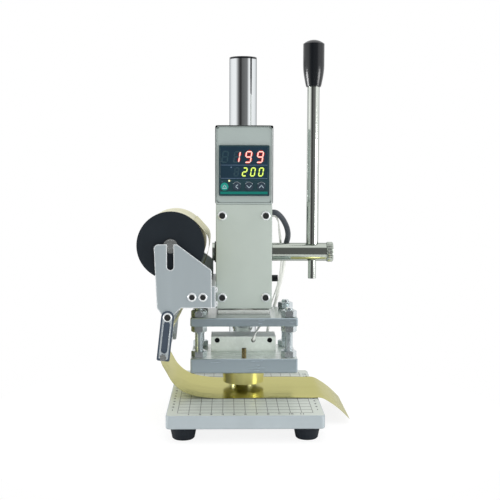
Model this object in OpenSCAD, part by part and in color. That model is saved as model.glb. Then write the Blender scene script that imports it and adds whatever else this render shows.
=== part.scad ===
// Bench-top hot foil stamping machine. Units are millimetres.
// The origin is the centre of the bench at the floor, +Z is up and the front faces -Y.

/* [Bench] */
// Width of the working bench, left to right
bench_w = 140; // [130:1:170]
// Depth of the working bench, front to back
bench_d = 180; // [170:1:210]
// Thickness of the bench plate
bench_t = 12; // [9:0.5:16]
// Corner radius of the bench plate in plan
bench_r = 4; // [2:0.5:8]
// Height of a rubber foot
foot_h = 12; // [9:0.5:18]
// Diameter of a foot under the bench
foot_d = 23.5; // [22:0.5:28]
// Diameter of a foot at the floor
foot_floor_d = 20; // [16:0.5:21]
// Distance of a foot's axis from the side edge of the bench
foot_side_inset = 15; // [14:0.5:22]
// Distance of a foot's axis from the front or rear edge of the bench
foot_end_inset = 16; // [14:0.5:26]
// Diameter of a foot's fixing screw
foot_screw_d = 5; // [4:0.5:6]

/* [Strut] */
// Diameter of the chrome height strut
strut_d = 28; // [24:0.5:30]
// Height of the strut above the bench
strut_h = 326.5; // [280:0.5:360]
// Distance of the strut's axis from the rear edge of the bench
strut_inset = 20; // [19:0.5:24]
// Thickness of the plastic cap on the strut
strut_cap_t = 2; // [1:0.5:4]
// Bore in the top of the strut that takes the cap's plug
strut_bore_d = 22; // [16:0.5:23]
// Diameter of the bolt that holds the strut to the bench
strut_bolt_d = 8; // [6:0.5:10]

/* [Stamping plates] */
// Width of the hot plate and of the upper plate
plate_w = 102; // [94:1:112]
// Depth of the hot plate and of the upper plate
plate_d = 74; // [70:1:80]
// Thickness of the hot plate
hot_plate_t = 14; // [12:0.5:18]
// Thickness of the upper plate
upper_plate_t = 8; // [6:0.5:12]
// Clear height between the hot plate and the upper plate
plate_gap = 31; // [29:0.5:40]
// Clear height between the bench and the brass die with the handle up
daylight = 5.5; // [5.4:0.1:12]
// Diameter of the brass die
die_d = 41; // [30:0.5:50]
// Height of the brass die
die_h = 16; // [10:0.5:20]
// Diameter of a balance stud
stud_d = 8; // [6:0.5:9]
// Distance of a stud's axis from the side edge of the plates
stud_side_inset = 8; // [7:0.5:10]
// Distance of a stud's axis from the front or rear edge of the plates
stud_end_inset = 10; // [9:0.5:14]
// Width across the flats of a stud nut
nut_af = 13; // [12:0.5:14]
// Height of a stud nut
nut_h = 6.5; // [5:0.5:8]
// Length of stud that stands above its top nut
stud_proud = 2.5; // [1:0.5:6]
// Width of the heater block
heater_block_w = 64; // [62:1:68]
// Depth of the heater block
heater_block_d = 28; // [24:1:36]
// Height of the heater block
heater_block_h = 14.5; // [13.5:0.5:20]
// Diameter of a cartridge heater
heater_d = 5; // [4:0.5:6]
// Distance between the two cartridge heaters
heater_spacing = 52; // [46:1:54]

/* [Head] */
// Width of the head
head_w = 54; // [52:1:60]
// Height of the head
head_h = 101; // [98:1:120]
// Distance from the front of the head's cover to the strut's axis
head_reach = 70; // [69:0.5:74]
// Thickness of the front cover
cover_t = 4; // [3:0.5:4.5]
// Wall of the head behind the strut
head_back_wall = 4; // [3:0.5:5]
// Clear height between the ram's flange and the head with the handle up
head_lift = 2; // [1.5:0.5:4]
// Inset of a cover screw from the side edge of the cover
cover_screw_side = 6.1; // [5.5:0.1:8]
// Inset of a cover screw from the top or bottom edge of the cover
cover_screw_end = 11; // [8:0.5:14]
// Head diameter of a cover screw
cover_screw_head_d = 9; // [8:0.5:10]

/* [Ram and handle] */
// Diameter of the ram
ram_d = 22; // [21:0.5:23]
// Distance from the front of the cover to the ram's axis
ram_setback = 20; // [19.5:0.5:22]
// Length of the ram above its flange
ram_len = 88; // [87:0.5:92]
// Thickness of the ram's flange
ram_flange_t = 4; // [3:0.5:6]
// Width of the ram's flange
ram_flange_w = 50; // [40:1:52]
// Depth of the ram's flange
ram_flange_d = 28; // [25:1:34]
// Distance of the rack's pitch line behind the ram's axis
rack_offset = 8; // [7.8:0.1:8.4]
// Gear module of the pinion and the rack
gear_module = 1; // [0.95:0.01:1.05]
// Teeth on the pinion
pinion_teeth = 16; // [15:1:17]
// Wire diameter of the return spring
spring_wire_d = 1.5; // [1.2:0.1:1.6]
// Coils of the return spring
spring_coils = 4.5; // [3:0.5:5]
// Height of the cross shaft's axis above the bottom of the head
shaft_rise = 52.2; // [50:0.1:54]
// Reach of the cross shaft to the right of the head
shaft_reach = 56; // [50:1:62]
// Reach of the cross shaft to the left of the head
shaft_stub = 4; // [3.5:0.5:8]
// Distance of the handle rod's axis from the right side of the head
handle_out = 42; // [36:1:45]
// Diameter of the handle rod
rod_d = 12; // [10:0.5:13]
// Diameter of the rod's turned end in the cross shaft
rod_tail_d = 8; // [6:0.5:9]
// Length of the turned end below the cross shaft's axis
rod_tail_len = 26.7; // [18:0.1:32]
// Height of the grip's top above the cross shaft's axis
handle_h = 209.3; // [160:0.1:230]
// Length of the grip
grip_len = 46; // [38:1:60]
// Largest diameter of the grip
grip_d = 21; // [19:0.5:24]
// Diameter of the set screw's knob
knob_d = 20; // [16:0.5:24]
// Length of the set screw's knob
knob_len = 6.4; // [5:0.1:9]

/* [Control box] */
// Width of the control box
box_w = 55.5; // [55:0.5:60]
// Height of the control box
box_h = 75; // [72:0.5:90]
// Wall of the control box
box_wall = 1.5; // [1.2:0.1:2]
// Corner radius of the control box
box_r = 3; // [2.5:0.5:4]
// Front size of the temperature controller
bezel_w = 48; // [46:0.5:49]
// Height of the controller's lower edge above the bottom of the control box
bezel_rise = 8; // [7:0.5:12]
// Depth of the controller behind the control box's face
controller_depth = 40; // [30:1:42]
// Diameter of a controller key
key_d = 7.6; // [6:0.1:8.6]
// Distance between the axes of two keys
key_pitch = 11.7; // [10.5:0.1:11.8]
// Bore of the cord gland
gland_bore_d = 7; // [5:0.5:7.5]

/* [Foil carrier] */
// Distance of the foil roll's axis from the left side of the head
roll_out = 41.2; // [40:0.1:46]
// Height of the foil roll's axis above the bottom of the head
roll_rise = 63.9; // [62:0.1:70]
// Diameter of the foil roll
roll_d = 62.5; // [48:0.5:62.5]
// Length of the foil roll, which is the foil's width
roll_len = 86; // [78:1:87]
// Diameter of the front roll disc
disc_d = 63; // [60:0.5:64]
// Diameter of the rear roll disc
rear_disc_d = 54; // [44:0.5:60]
// Thickness of a roll disc
disc_t = 3; // [2:0.5:4]
// Diameter of the fixed roll shaft
roll_shaft_d = 6; // [5:0.5:7]
// Outside diameter of the card core
core_d = 26; // [24:0.5:30]
// Wall of the card core
core_wall = 2; // [1.5:0.5:3]
// Thickness of a bracket plate
sheet_t = 2; // [1.5:0.5:3]
// Thickness of the bracket bar beside the head
bar_t = 6; // [5:0.5:7]
// Height of the bracket bar
bar_h = 20; // [19.5:0.5:24]
// Thickness of a bracket lug
lug_t = 7; // [6:0.5:7]
// Width of a bracket lug
lug_w = 20; // [19:0.5:21]
// Width of a guide arm
arm_w = 12; // [10:0.5:14]
// Distance between a guide arm's pivot and its roller
arm_len = 37.4; // [34:0.1:40]
// Lean of the guide arms to the left, in degrees
arm_tilt = 6.4; // [4:0.1:9]
// Diameter of the guide roller
roller_d = 6.4; // [5.5:0.1:7]
// Diameter of the guide roller's pin
roller_pin_d = 3; // [2.5:0.1:3.2]

/* [Hidden] */
$fn = 48;
// Running clearance between a shaft and its bore, on the radius
run_gap = 0.05;
// Clearance between a fixed piece and its hole, on the radius
seat_gap = 0.03;
// Overrun of a cut past the face it opens
over = 1;
// Pressure angle of the rack's teeth, in degrees
pressure_angle = 20;
// Play between meshing teeth
backlash = 0.3;
// Shortening of the rack's tooth tips
rack_tip_relief = 0.2 * gear_module;

// Heights of the stack, from the floor up
bench_top = foot_h + bench_t;
strut_top = bench_top + strut_h;
die_bottom = bench_top + daylight;
hot_bottom = die_bottom + die_h;
hot_top = hot_bottom + hot_plate_t;
upper_bottom = hot_top + plate_gap;
upper_top = upper_bottom + upper_plate_t;
flange_top = upper_top + ram_flange_t;
head_bottom = flange_top + head_lift;
head_top = head_bottom + head_h;
box_top = head_top + box_h;

// Places in plan
strut_y = bench_d / 2 - strut_inset;
head_front = strut_y - head_reach;
block_front = head_front + cover_t;
head_back = strut_y + strut_d / 2 + head_back_wall;
head_side = head_w / 2;
ram_y = head_front + ram_setback;

// Pinion and cross shaft
pitch_r = gear_module * pinion_teeth / 2;
base_r = pitch_r * cos(pressure_angle);
shaft_d = 2 * (pitch_r + gear_module);
pinion_root_r = pitch_r - 1.25 * gear_module;
tooth_pitch = PI * gear_module;
// Shortening of the pinion's tooth tips below the shaft's surface
pinion_tip_relief = 0.15;
rack_line_y = ram_y + rack_offset;
shaft_y = rack_line_y + pitch_r;
shaft_z = head_bottom + shaft_rise;
// Room beside the ram where the shaft swells from the pinion to its full diameter
pinion_room = 0.5;
pinion_half = sqrt(pow(ram_d / 2, 2) - pow(rack_offset - gear_module, 2)) + pinion_room;
shaft_end = head_side + shaft_reach;
handle_x = head_side + handle_out;
grip_top = shaft_z + handle_h;
rod_seat_z = shaft_z + shaft_d / 2 - 1;

// Ram guides
spring_gap = 0.3;
bore_gap = 0.5;
spring_r = (ram_d / 2 + spring_gap + spring_wire_d / 2) / cos(22.5);
ram_bore_d = 2 * spring_r + spring_wire_d + 2 * bore_gap;
ram_bush_h = 20;
ram_top_bush_h = 16;
ram_top_bush_z = shaft_z + 13.3;
ram_collar_t = 3;
ram_collar_z = shaft_z - 14.7;
rack_spaces_down = 3;
rack_spaces_up = 5;
shaft_bush_wall = 2;
shaft_bush_d = shaft_d + 2 * shaft_bush_wall;
shaft_bush_in = ram_bore_d / 2 + 0.5;
clip_t = 1.2;
clip_groove = 0.8;
clip_gap = 0.4;
clip_rim = 1.5;

// Stud and plate places
stud_xs = [-plate_w / 2 + stud_side_inset, plate_w / 2 - stud_side_inset];
// Clearance between the back edges of the plates and the strut
plate_strut_gap = 2;
plate_y = strut_y - strut_d / 2 - plate_strut_gap - plate_d / 2;
stud_ys = [plate_y - plate_d / 2 + stud_end_inset, plate_y + plate_d / 2 - stud_end_inset];
stud_depth = 9;
plate_chamfer = 0.8;
plate_r = 2;
ram_bolt_d = 8;
ram_bolt_head_d = 13;
ram_bolt_head_h = 5;
ram_bolt_grip = 16;

// Hot plate fittings
block_front_y = ram_y - 2;
heater_cover = 3.7;
heater_rise = heater_block_h - heater_cover;
heater_inset = 1;
heater_z = hot_top + heater_rise;
sensor_x = 9.7;
sensor_depth = 14;
die_step = 5.5;
die_rim = 0.5;
die_ring = 2.5;
die_groove = 0.8;
die_spigot_d = 8;
die_spigot_h = 8;
die_screw_d = 4.5;
die_screw_up = 9.5;
die_screw_down = 8;
die_screw_inset = 5;

// Screws
cover_screw_d = 4;
cover_screw_head_h = 2.6;
// Width across flats of the hex sockets in the large screw heads
button_socket_af = 4.5;
cover_screw_len = 12;
foot_screw_head_d = 9;
foot_screw_head_h = 3;
foot_screw_depth = 7;
foot_recess = 6;
strut_bolt_head_d = strut_bolt_d + 5;
strut_bolt_head_h = 5;
strut_bolt_grip = 18;
lock_screw_d = 5;
lock_screw_head_d = 7;
lock_screw_head_len = 6.4;
lock_nut_af = 8;
lock_nut_t = 2.6;
lock_rise = 21.5;
lock_z = head_bottom + lock_rise;
lock_gap = 0.3;

// Control box
box_strut_gap = 4;
back_t = 1.5;
face_t = 1.5;
face_inset = 1;
face_corner = 2.4;
face_gap = 0.15;
box_back = strut_y - strut_d / 2 - box_strut_gap;
box_mid_z = head_top + box_h / 2;
post_d = 5.4;
post_screw_d = 2.5;
post_screw_head_d = 4.6;
post_screw_head_h = 1.5;
post_screw_len = 9;
post_x = box_w / 2 - box_wall - post_d / 2 + 0.4;
post_dz = box_h / 2 - box_wall - post_d / 2 + 0.4;
floor_screw_x = 16;
floor_screw_ys = [head_front + 12, head_front + 33];
floor_screw_d = 4;
floor_screw_head_d = 7;
floor_screw_head_h = 2;
floor_screw_len = 10;
bezel_t = 2.5;
bezel_front = head_front + face_inset - bezel_t;
bezel_z = head_top + bezel_rise;
controller_w = bezel_w - 3.2;
window_t = 0.8;
window_margin = 1.4;
window_low = 15.5;
key_rise = 8.9;
key_proud = 0.6;
key_floor = 0.3;
key_hole_depth = bezel_t - key_floor;
key_len = 2;
key_shift = -1.2;
key_run = 0.1;
gland_inset = 10.25;
gland_x = box_w / 2 - gland_inset;
gland_rise = 17;
gland_thread_d = 9.5;
gland_af = 13;
gland_hex_t = 4;
gland_dome_d = 11;
gland_dome_len = 5;
gland_nut_t = 3;
gland_z = head_top + gland_rise;

// Leads between the head and the hot plate
lead_y = ram_y + 25;
lead_z = head_top - 11;
sleeve_d = 5.6;
heater_lead_d = 3.2;
sensor_lead_d = 2.4;
lead_hole_d = 12;
lead_duct_d = 8;
lead_duct_x = head_side - 9;
grommet_rim = 1.6;
grommet_rim_t = 1.2;
grommet_len = 6;
// Places where the two leads leave the grommet, and the gap between a lead and the heater's end
sleeve_y = lead_y - 1.4;
sleeve_z = lead_z + 1.4;
sensor_lead_y = lead_y + 2.2;
sensor_lead_z = lead_z - 2.4;
lead_seat = 0.15;
lead_bore_gap = 0.2;

// Foil carrier
roll_x = -head_side - roll_out;
roll_z = head_bottom + roll_rise;
// Distance of the roll's middle ahead of the ram's axis
roll_ahead = 8;
roll_front = ram_y - roll_ahead - roll_len / 2;
roll_back = roll_front + roll_len;
disc_run = 1;
shaft_nut_t = 4;
shaft_nut_d = 13;
sheet_front = roll_front - disc_t - disc_run - shaft_nut_t;
sheet_back = roll_back + disc_t + disc_run + shaft_nut_t;
disc_boss_t = 6;
bar_z = head_bottom + 7;
bar_left = -head_side - bar_t;
lug_left = bar_left - lug_w;
plate_screw_d = 4;
plate_screw_head_d = 8.4;
plate_screw_head_h = 2.4;
plate_screw_rise = 10.1;
plate_screw_len = 5.5;
plate_screw_xs = [lug_left + 4.6, lug_left + 14.6];
lug_screw_d = 3;
lug_screw_head_d = 5.5;
lug_screw_head_h = 2;
lug_screw_len = 8;
lug_screw_rises = [3.2, 16.2];
bar_screw_d = 5;
bar_screw_head_d = 8.5;
bar_screw_head_h = 3;
bar_screw_len = 9;
bar_screw_rise = 9.5;
bar_screw_ys = [ram_y, strut_y - 20];
pivot_x = roll_x - 2.5;
pivot_z = head_bottom - 1.3;
pivot_d = 4;
pivot_head_d = 8.6;
pivot_head_h = 2.6;
pivot_nut_af = 7;
pivot_nut_t = 3;
arm_tail = 3.4;
arm_corner = 1.6;
arm_slot_w = 5.8;
arm_slot_depth = 1.2;
arm_slot_top = 6.6;
arm_slot_low = 6.6;
roller_x = pivot_x - arm_len * sin(arm_tilt);
roller_z = pivot_z - arm_len * cos(arm_tilt);
roller_end_gap = 0.5;
pin_nut_d = 6;
pin_nut_t = 2.5;

// Bracket plate outline, measured from the roll's axis or the bracket bar
sheet_left = 14.8;
sheet_left_low = 12.4;
sheet_top = 1.8;
sheet_shoulder = 6.2;
sheet_nose_drop = 20.4;
sheet_edge = 2.6;
sheet_chin_x = 7.6;
sheet_r = 4;
sheet_nose_r = 3;
sheet_lobe_r = 4.6;
sheet_lobe_rise = 10;
sheet_slot_depth = 18.8;

// Foil strip: its thickness and the height at which it crosses the bench
foil_t = 0.3;
foil_gap = 0.45;
foil_lift = 0.7;
foil_wrap = roller_d / 2 + foil_gap;
foil_leave = roll_d / 2 + foil_gap;
foil_leave_angle = 48;
foil_loosen = 0.0025;
foil_steps = 5;

// A round bar along X, Y or Z between two places
module x_rod(d, x0, x1, y, z) {
    translate([x0, y, z]) rotate([0, 90, 0]) cylinder(d = d, h = x1 - x0);
}

module y_rod(d, y0, y1, x, z) {
    translate([x, y0, z]) rotate([-90, 0, 0]) cylinder(d = d, h = y1 - y0);
}

module z_rod(d, z0, z1, x, y) {
    translate([x, y, z0]) cylinder(d = d, h = z1 - z0);
}

// A hexagonal bar along +Z from the origin
module hex_bar(af, h) {
    cylinder(d = af / cos(30), h = h, $fn = 6);
}

// A flat shape drawn in X and Z, given a thickness along Y
module xz_plate(y0, t) {
    translate([0, y0 + t, 0]) rotate([90, 0, 0]) linear_extrude(t) children();
}

module rounded_square(w, d, r) {
    square([w - 2 * r, d], center = true);
    square([w, d - 2 * r], center = true);
    for (sx = [-1, 1], sy = [-1, 1])
        translate([sx * (w / 2 - r), sy * (d / 2 - r)]) circle(r);
}

// A plate on the XY plane with rounded corners and broken edges
module soft_plate(w, d, t, r, c) {
    hull() {
        translate([0, 0, c]) linear_extrude(t - 2 * c) rounded_square(w, d, r, $fn = 32);
        linear_extrude(t) rounded_square(w - 2 * c, d - 2 * c, max(r - c, 0.4), $fn = 32);
    }
}

// A screw with a domed head above the origin and its shank below
module button_screw(head_d, head_h, shank_d, shank_len, socket_af) {
    rim = 0.3 * head_h;
    dome = [for (a = [0:15:75]) [head_d / 2 * cos(a), rim + (head_h - rim) * sin(a)]];
    difference() {
        rotate_extrude() polygon(concat(
            [[0, -shank_len], [shank_d / 2, -shank_len], [shank_d / 2, 0], [head_d / 2, 0]],
            dome,
            [[0, head_h]]
        ));
        translate([0, 0, 0.45 * head_h]) hex_bar(socket_af, head_h);
    }
}

// A screw with a flat cylindrical head above the origin and its shank below
module cap_screw(head_d, head_h, shank_d, shank_len, socket_af) {
    difference() {
        union() {
            cylinder(d = head_d, h = head_h);
            translate([0, 0, -shank_len]) cylinder(d = shank_d, h = shank_len);
        }
        translate([0, 0, 0.45 * head_h]) hex_bar(socket_af, head_h);
    }
}

module front_facing(x, y, z) {
    translate([x, y, z]) rotate([90, 0, 0]) children();
}

module rear_facing(x, y, z) {
    translate([x, y, z]) rotate([-90, 0, 0]) children();
}

module right_facing(x, y, z) {
    translate([x, y, z]) rotate([0, 90, 0]) children();
}

module left_facing(x, y, z) {
    translate([x, y, z]) rotate([0, -90, 0]) children();
}

function unit(v) = v / norm(v);

// Direction of a smooth curve at point i of a list, weighted by the spans beside it
function course(p, i) =
    i == 0 ? unit(p[1] - p[0])
    : i == len(p) - 1 ? unit(p[i] - p[i - 1])
    : let (a = p[i] - p[i - 1], b = p[i + 1] - p[i], la = norm(a), lb = norm(b))
        (unit(a) * lb + unit(b) * la) / (la + lb);

// Point at share t of the span after point i
function span_point(p, i, t) =
    let (l = norm(p[i + 1] - p[i]))
        (2 * t * t * t - 3 * t * t + 1) * p[i] + (t * t * t - 2 * t * t + t) * l * course(p, i)
        + (3 * t * t - 2 * t * t * t) * p[i + 1] + (t * t * t - t * t) * l * course(p, i + 1);

// Points of a smooth curve through a list of points
function spline(p, steps) = concat(
    [for (i = [0:len(p) - 2], k = [0:steps - 1]) span_point(p, i, k / steps)],
    [p[len(p) - 1]]
);

function heading(p, i) = unit(p[min(i + 1, len(p) - 1)] - p[max(i - 1, 0)]);

// One closed tube swept along points, with a radius for each point
module tube(p, radii, sides, side_ref) {
    last = len(p) - 1;
    rings = [for (i = [0:last])
        let (t = heading(p, i), u = unit(cross(side_ref, t)), v = cross(t, u))
            for (k = [0:sides - 1])
                p[i] + radii[i] * (cos(360 * k / sides) * u + sin(360 * k / sides) * v)];
    walls = [for (i = [0:last - 1], k = [0:sides - 1])
        let (a = i * sides + k, b = i * sides + (k + 1) % sides)
            each [[a, b + sides, b], [a, a + sides, b + sides]]];
    caps = concat(
        [for (k = [1:sides - 2]) [0, k, k + 1]],
        [for (k = [1:sides - 2]) [last * sides, last * sides + k + 1, last * sides + k]]
    );
    polyhedron(points = rings, faces = concat(walls, caps), convexity = 10);
}

// Bench
foot_xs = [-bench_w / 2 + foot_side_inset, bench_w / 2 - foot_side_inset];
foot_ys = [-bench_d / 2 + foot_end_inset, bench_d / 2 - foot_end_inset];

module bench_plate() {
    color([0.72, 0.75, 0.8]) difference() {
        translate([0, 0, foot_h]) soft_plate(bench_w, bench_d, bench_t, bench_r, plate_chamfer);
        z_rod(strut_bolt_d + 2 * seat_gap, foot_h - over, bench_top + over, 0, strut_y);
        z_rod(strut_bolt_head_d + 1, foot_h - over, foot_h + strut_bolt_head_h, 0, strut_y);
        for (x = foot_xs, y = foot_ys)
            z_rod(foot_screw_d + 2 * seat_gap, foot_h - over, foot_h + foot_screw_depth, x, y);
    }
}

module rubber_feet() {
    hole_r = foot_screw_d / 2 + seat_gap;
    recess_r = foot_screw_head_d / 2 + 1;
    color([0.07, 0.07, 0.08]) for (x = foot_xs, y = foot_ys)
        translate([x, y, 0]) rotate_extrude() polygon([
            [recess_r, 0], [foot_floor_d / 2 - 1, 0], [foot_floor_d / 2, 1],
            [foot_d / 2, foot_h - 2.5], [foot_d / 2, foot_h - 0.8], [foot_d / 2 - 0.8, foot_h],
            [hole_r, foot_h], [hole_r, foot_recess], [recess_r, foot_recess]
        ]);
}

module foot_screws() {
    color([0.55, 0.56, 0.58]) for (x = foot_xs, y = foot_ys)
        translate([x, y, foot_recess]) mirror([0, 0, 1])
            cap_screw(foot_screw_head_d, foot_screw_head_h, foot_screw_d,
                foot_h - foot_recess + foot_screw_depth - 0.5, 3);
}

module strut() {
    color([0.85, 0.86, 0.88]) difference() {
        z_rod(strut_d, bench_top, strut_top, 0, strut_y);
        z_rod(strut_bore_d, strut_top - 5 * strut_cap_t, strut_top + over, 0, strut_y);
        z_rod(strut_bolt_d + 2 * seat_gap, bench_top - over, bench_top + strut_bolt_grip + 1, 0, strut_y);
    }
}

module strut_bolt() {
    color([0.5, 0.5, 0.52]) translate([0, strut_y, foot_h + strut_bolt_head_h]) mirror([0, 0, 1])
        cap_screw(strut_bolt_head_d, strut_bolt_head_h - 0.4, strut_bolt_d,
            bench_t - strut_bolt_head_h + strut_bolt_grip, 6);
}

module strut_cap() {
    color([0.08, 0.08, 0.09]) union() {
        z_rod(strut_d, strut_top, strut_top + strut_cap_t, 0, strut_y);
        z_rod(strut_bore_d - 2 * seat_gap, strut_top - 4 * strut_cap_t, strut_top + strut_cap_t / 2,
            0, strut_y);
    }
}

// Head
cover_screw_xs = [-head_side + cover_screw_side, head_side - cover_screw_side];
cover_screw_zs = [head_bottom + cover_screw_end, head_top - cover_screw_end];

module head_block() {
    block_d = head_back - block_front;
    color([0.72, 0.76, 0.73]) difference() {
        translate([0, block_front + block_d / 2, head_bottom])
            linear_extrude(head_h) rounded_square(head_w, block_d, 2.5);
        z_rod(strut_d + 2 * run_gap, head_bottom - over, head_top + over, 0, strut_y);
        z_rod(ram_bore_d, head_bottom - over, head_top + over, 0, ram_y);
        x_rod(shaft_bush_d + 2 * seat_gap, -head_side - over, head_side + over, shaft_y, shaft_z);
        x_rod(lock_screw_d + 2 * run_gap, 0, head_side + over, strut_y, lock_z);
        for (x = cover_screw_xs, z = cover_screw_zs)
            y_rod(cover_screw_d + 2 * seat_gap, block_front - over, block_front + cover_screw_len, x, z);
        for (y = bar_screw_ys)
            x_rod(bar_screw_d + 2 * seat_gap, -head_side - over, -head_side + bar_screw_len + 1,
                y, bar_z + bar_screw_rise);
        for (x = [-floor_screw_x, floor_screw_x], y = floor_screw_ys)
            z_rod(floor_screw_d + 2 * seat_gap, head_top - floor_screw_len - 1, head_top + over, x, y);
        x_rod(lead_hole_d, lead_duct_x, head_side + over, lead_y, lead_z);
        z_rod(lead_duct_d, lead_z, head_top + over, lead_duct_x, lead_y);
    }
}

module front_cover() {
    color([0.74, 0.78, 0.75]) difference() {
        translate([0, block_front, head_bottom + head_h / 2]) rotate([90, 0, 0])
            soft_plate(head_w, head_h, cover_t, 2, 0.6);
        for (x = cover_screw_xs, z = cover_screw_zs)
            y_rod(cover_screw_d + 2 * seat_gap, head_front - over, block_front + over, x, z);
    }
}

module cover_screws() {
    color([0.7, 0.71, 0.72]) for (x = cover_screw_xs, z = cover_screw_zs)
        front_facing(x, head_front, z)
            button_screw(cover_screw_head_d, cover_screw_head_h, cover_screw_d,
                cover_t + cover_screw_len - 1, button_socket_af);
}

module ram_bush(z0, h) {
    difference() {
        z_rod(ram_bore_d - 2 * seat_gap, z0, z0 + h, 0, ram_y);
        z_rod(ram_d + 2 * run_gap, z0 - over, z0 + h + over, 0, ram_y);
    }
}

module ram_bushes() {
    color([0.72, 0.55, 0.28]) union() {
        ram_bush(head_bottom, ram_bush_h);
        ram_bush(ram_top_bush_z, ram_top_bush_h);
    }
}

module shaft_bushes() {
    color([0.72, 0.55, 0.28]) for (s = [-1, 1]) difference() {
        x_rod(shaft_bush_d, min(s * shaft_bush_in, s * head_side),
            max(s * shaft_bush_in, s * head_side), shaft_y, shaft_z);
        x_rod(shaft_d + 2 * run_gap, -head_side - over, head_side + over, shaft_y, shaft_z);
    }
}

// Control box
module box_posts_at() {
    for (x = [-post_x, post_x], dz = [-post_dz, post_dz])
        translate([x, box_mid_z + dz]) children();
}

module control_box() {
    inner_w = box_w - 2 * box_wall;
    inner_h = box_h - 2 * box_wall;
    post_start = head_front + face_inset + face_t;
    color([0.74, 0.77, 0.76]) difference() {
        union() {
            xz_plate(head_front, box_back - head_front) difference() {
                translate([0, box_mid_z]) rounded_square(box_w, box_h, box_r);
                translate([0, box_mid_z]) rounded_square(inner_w, inner_h, box_r - box_wall);
            }
            xz_plate(post_start, box_back - post_start) intersection() {
                translate([0, box_mid_z]) rounded_square(box_w, box_h, box_r);
                box_posts_at() circle(d = post_d);
            }
        }
        for (x = [-post_x, post_x], dz = [-post_dz, post_dz])
            y_rod(post_screw_d + 2 * seat_gap, box_back - post_screw_len - 1, box_back + over,
                x, box_mid_z + dz);
        for (x = [-floor_screw_x, floor_screw_x], y = floor_screw_ys)
            z_rod(floor_screw_d + 2 * seat_gap, head_top - over, head_top + box_wall + over, x, y);
        z_rod(lead_duct_d, head_top - over, head_top + box_wall + over, lead_duct_x, lead_y);
    }
}

module control_box_face() {
    w = box_w / 2 - box_wall - face_gap;
    h = box_h / 2 - box_wall - face_gap;
    color([0.66, 0.7, 0.69]) xz_plate(head_front + face_inset, face_t) difference() {
        translate([0, box_mid_z]) polygon([
            [-w, -h + face_corner], [-w + face_corner, -h], [w - face_corner, -h], [w, -h + face_corner],
            [w, h - face_corner], [w - face_corner, h], [-w + face_corner, h], [-w, h - face_corner]
        ]);
        translate([0, bezel_z + bezel_w / 2])
            square(controller_w + 2 * seat_gap, center = true);
    }
}

module control_box_back() {
    color([0.7, 0.73, 0.72]) difference() {
        xz_plate(box_back, back_t) difference() {
            translate([0, box_mid_z]) rounded_square(box_w, box_h, box_r);
            box_posts_at() circle(d = post_screw_d + 2 * seat_gap);
        }
        y_rod(gland_thread_d + 2 * seat_gap, box_back - over, box_back + back_t + over, gland_x, gland_z);
    }
}

module box_screws() {
    color([0.6, 0.61, 0.62]) union() {
        for (x = [-floor_screw_x, floor_screw_x], y = floor_screw_ys)
            translate([x, y, head_top + box_wall])
                button_screw(floor_screw_head_d, floor_screw_head_h, floor_screw_d,
                    box_wall + floor_screw_len, 2.5);
        for (x = [-post_x, post_x], dz = [-post_dz, post_dz])
            rear_facing(x, box_back + back_t, box_mid_z + dz)
                button_screw(post_screw_head_d, post_screw_head_h, post_screw_d,
                    back_t + post_screw_len, 1.5);
    }
}

// Temperature controller
key_z = bezel_z + key_rise;

function key_x(i) = key_shift + (i - 1.5) * key_pitch;

module controller_body() {
    mid_z = bezel_z + bezel_w / 2;
    window_h = bezel_w - window_low - window_margin;
    face_back = head_front + face_inset;
    color([0.1, 0.12, 0.15]) difference() {
        union() {
            xz_plate(bezel_front, bezel_t) translate([0, mid_z]) rounded_square(bezel_w, bezel_w, 1);
            xz_plate(face_back - 0.5, controller_depth) translate([0, mid_z])
                square(controller_w, center = true);
        }
        xz_plate(bezel_front - over, window_t + over)
            translate([0, bezel_z + window_low + window_h / 2])
                square([bezel_w - 2 * window_margin, window_h], center = true);
        for (i = [0:3])
            y_rod(key_d + 2 * key_run, bezel_front - over, bezel_front + key_hole_depth, key_x(i), key_z);
    }
}

module display_window() {
    window_h = bezel_w - window_low - window_margin;
    color([0.03, 0.05, 0.09]) xz_plate(bezel_front, window_t)
        translate([0, bezel_z + window_low + window_h / 2])
            square([bezel_w - 2 * window_margin - 2 * seat_gap, window_h - 2 * seat_gap], center = true);
}

module controller_key(i) {
    y_rod(key_d, bezel_front - key_proud, bezel_front - key_proud + key_len, key_x(i), key_z);
}

module key_mode() { color([0.1, 0.6, 0.55]) controller_key(0); }
module key_shift_left() { color([0.12, 0.14, 0.18]) controller_key(1); }
module key_down() { color([0.12, 0.14, 0.18]) controller_key(2); }
module key_up() { color([0.12, 0.14, 0.18]) controller_key(3); }

module cord_gland() {
    outer = box_back + back_t;
    color([0.06, 0.06, 0.07]) difference() {
        union() {
            y_rod(gland_thread_d, box_back - gland_nut_t - 2, outer + 0.5, gland_x, gland_z);
            rear_facing(gland_x, outer, gland_z) hex_bar(gland_af, gland_hex_t);
            y_rod(gland_dome_d, outer + 1, outer + gland_hex_t + gland_dome_len, gland_x, gland_z);
            rear_facing(gland_x, box_back - gland_nut_t, gland_z) hex_bar(gland_af, gland_nut_t);
        }
        y_rod(gland_bore_d, box_back - gland_nut_t - 4, outer + gland_hex_t + gland_dome_len + over,
            gland_x, gland_z);
    }
}

module height_lock_screw() {
    head_x = head_side + lock_nut_t + 2 * lock_gap;
    tip_x = strut_d / 2 + lock_gap;
    color([0.16, 0.16, 0.18]) difference() {
        union() {
            x_rod(lock_screw_d, tip_x, head_x, strut_y, lock_z);
            x_rod(lock_screw_head_d, head_x, head_x + lock_screw_head_len, strut_y, lock_z);
        }
        right_facing(head_x + lock_screw_head_len / 2, strut_y, lock_z) hex_bar(2.5, lock_screw_head_len);
    }
}

module lock_nut() {
    color([0.3, 0.3, 0.32]) difference() {
        right_facing(head_side, strut_y, lock_z) hex_bar(lock_nut_af, lock_nut_t);
        x_rod(lock_screw_d + 2 * run_gap, head_side - over, head_side + lock_nut_t + over, strut_y, lock_z);
    }
}

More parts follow.
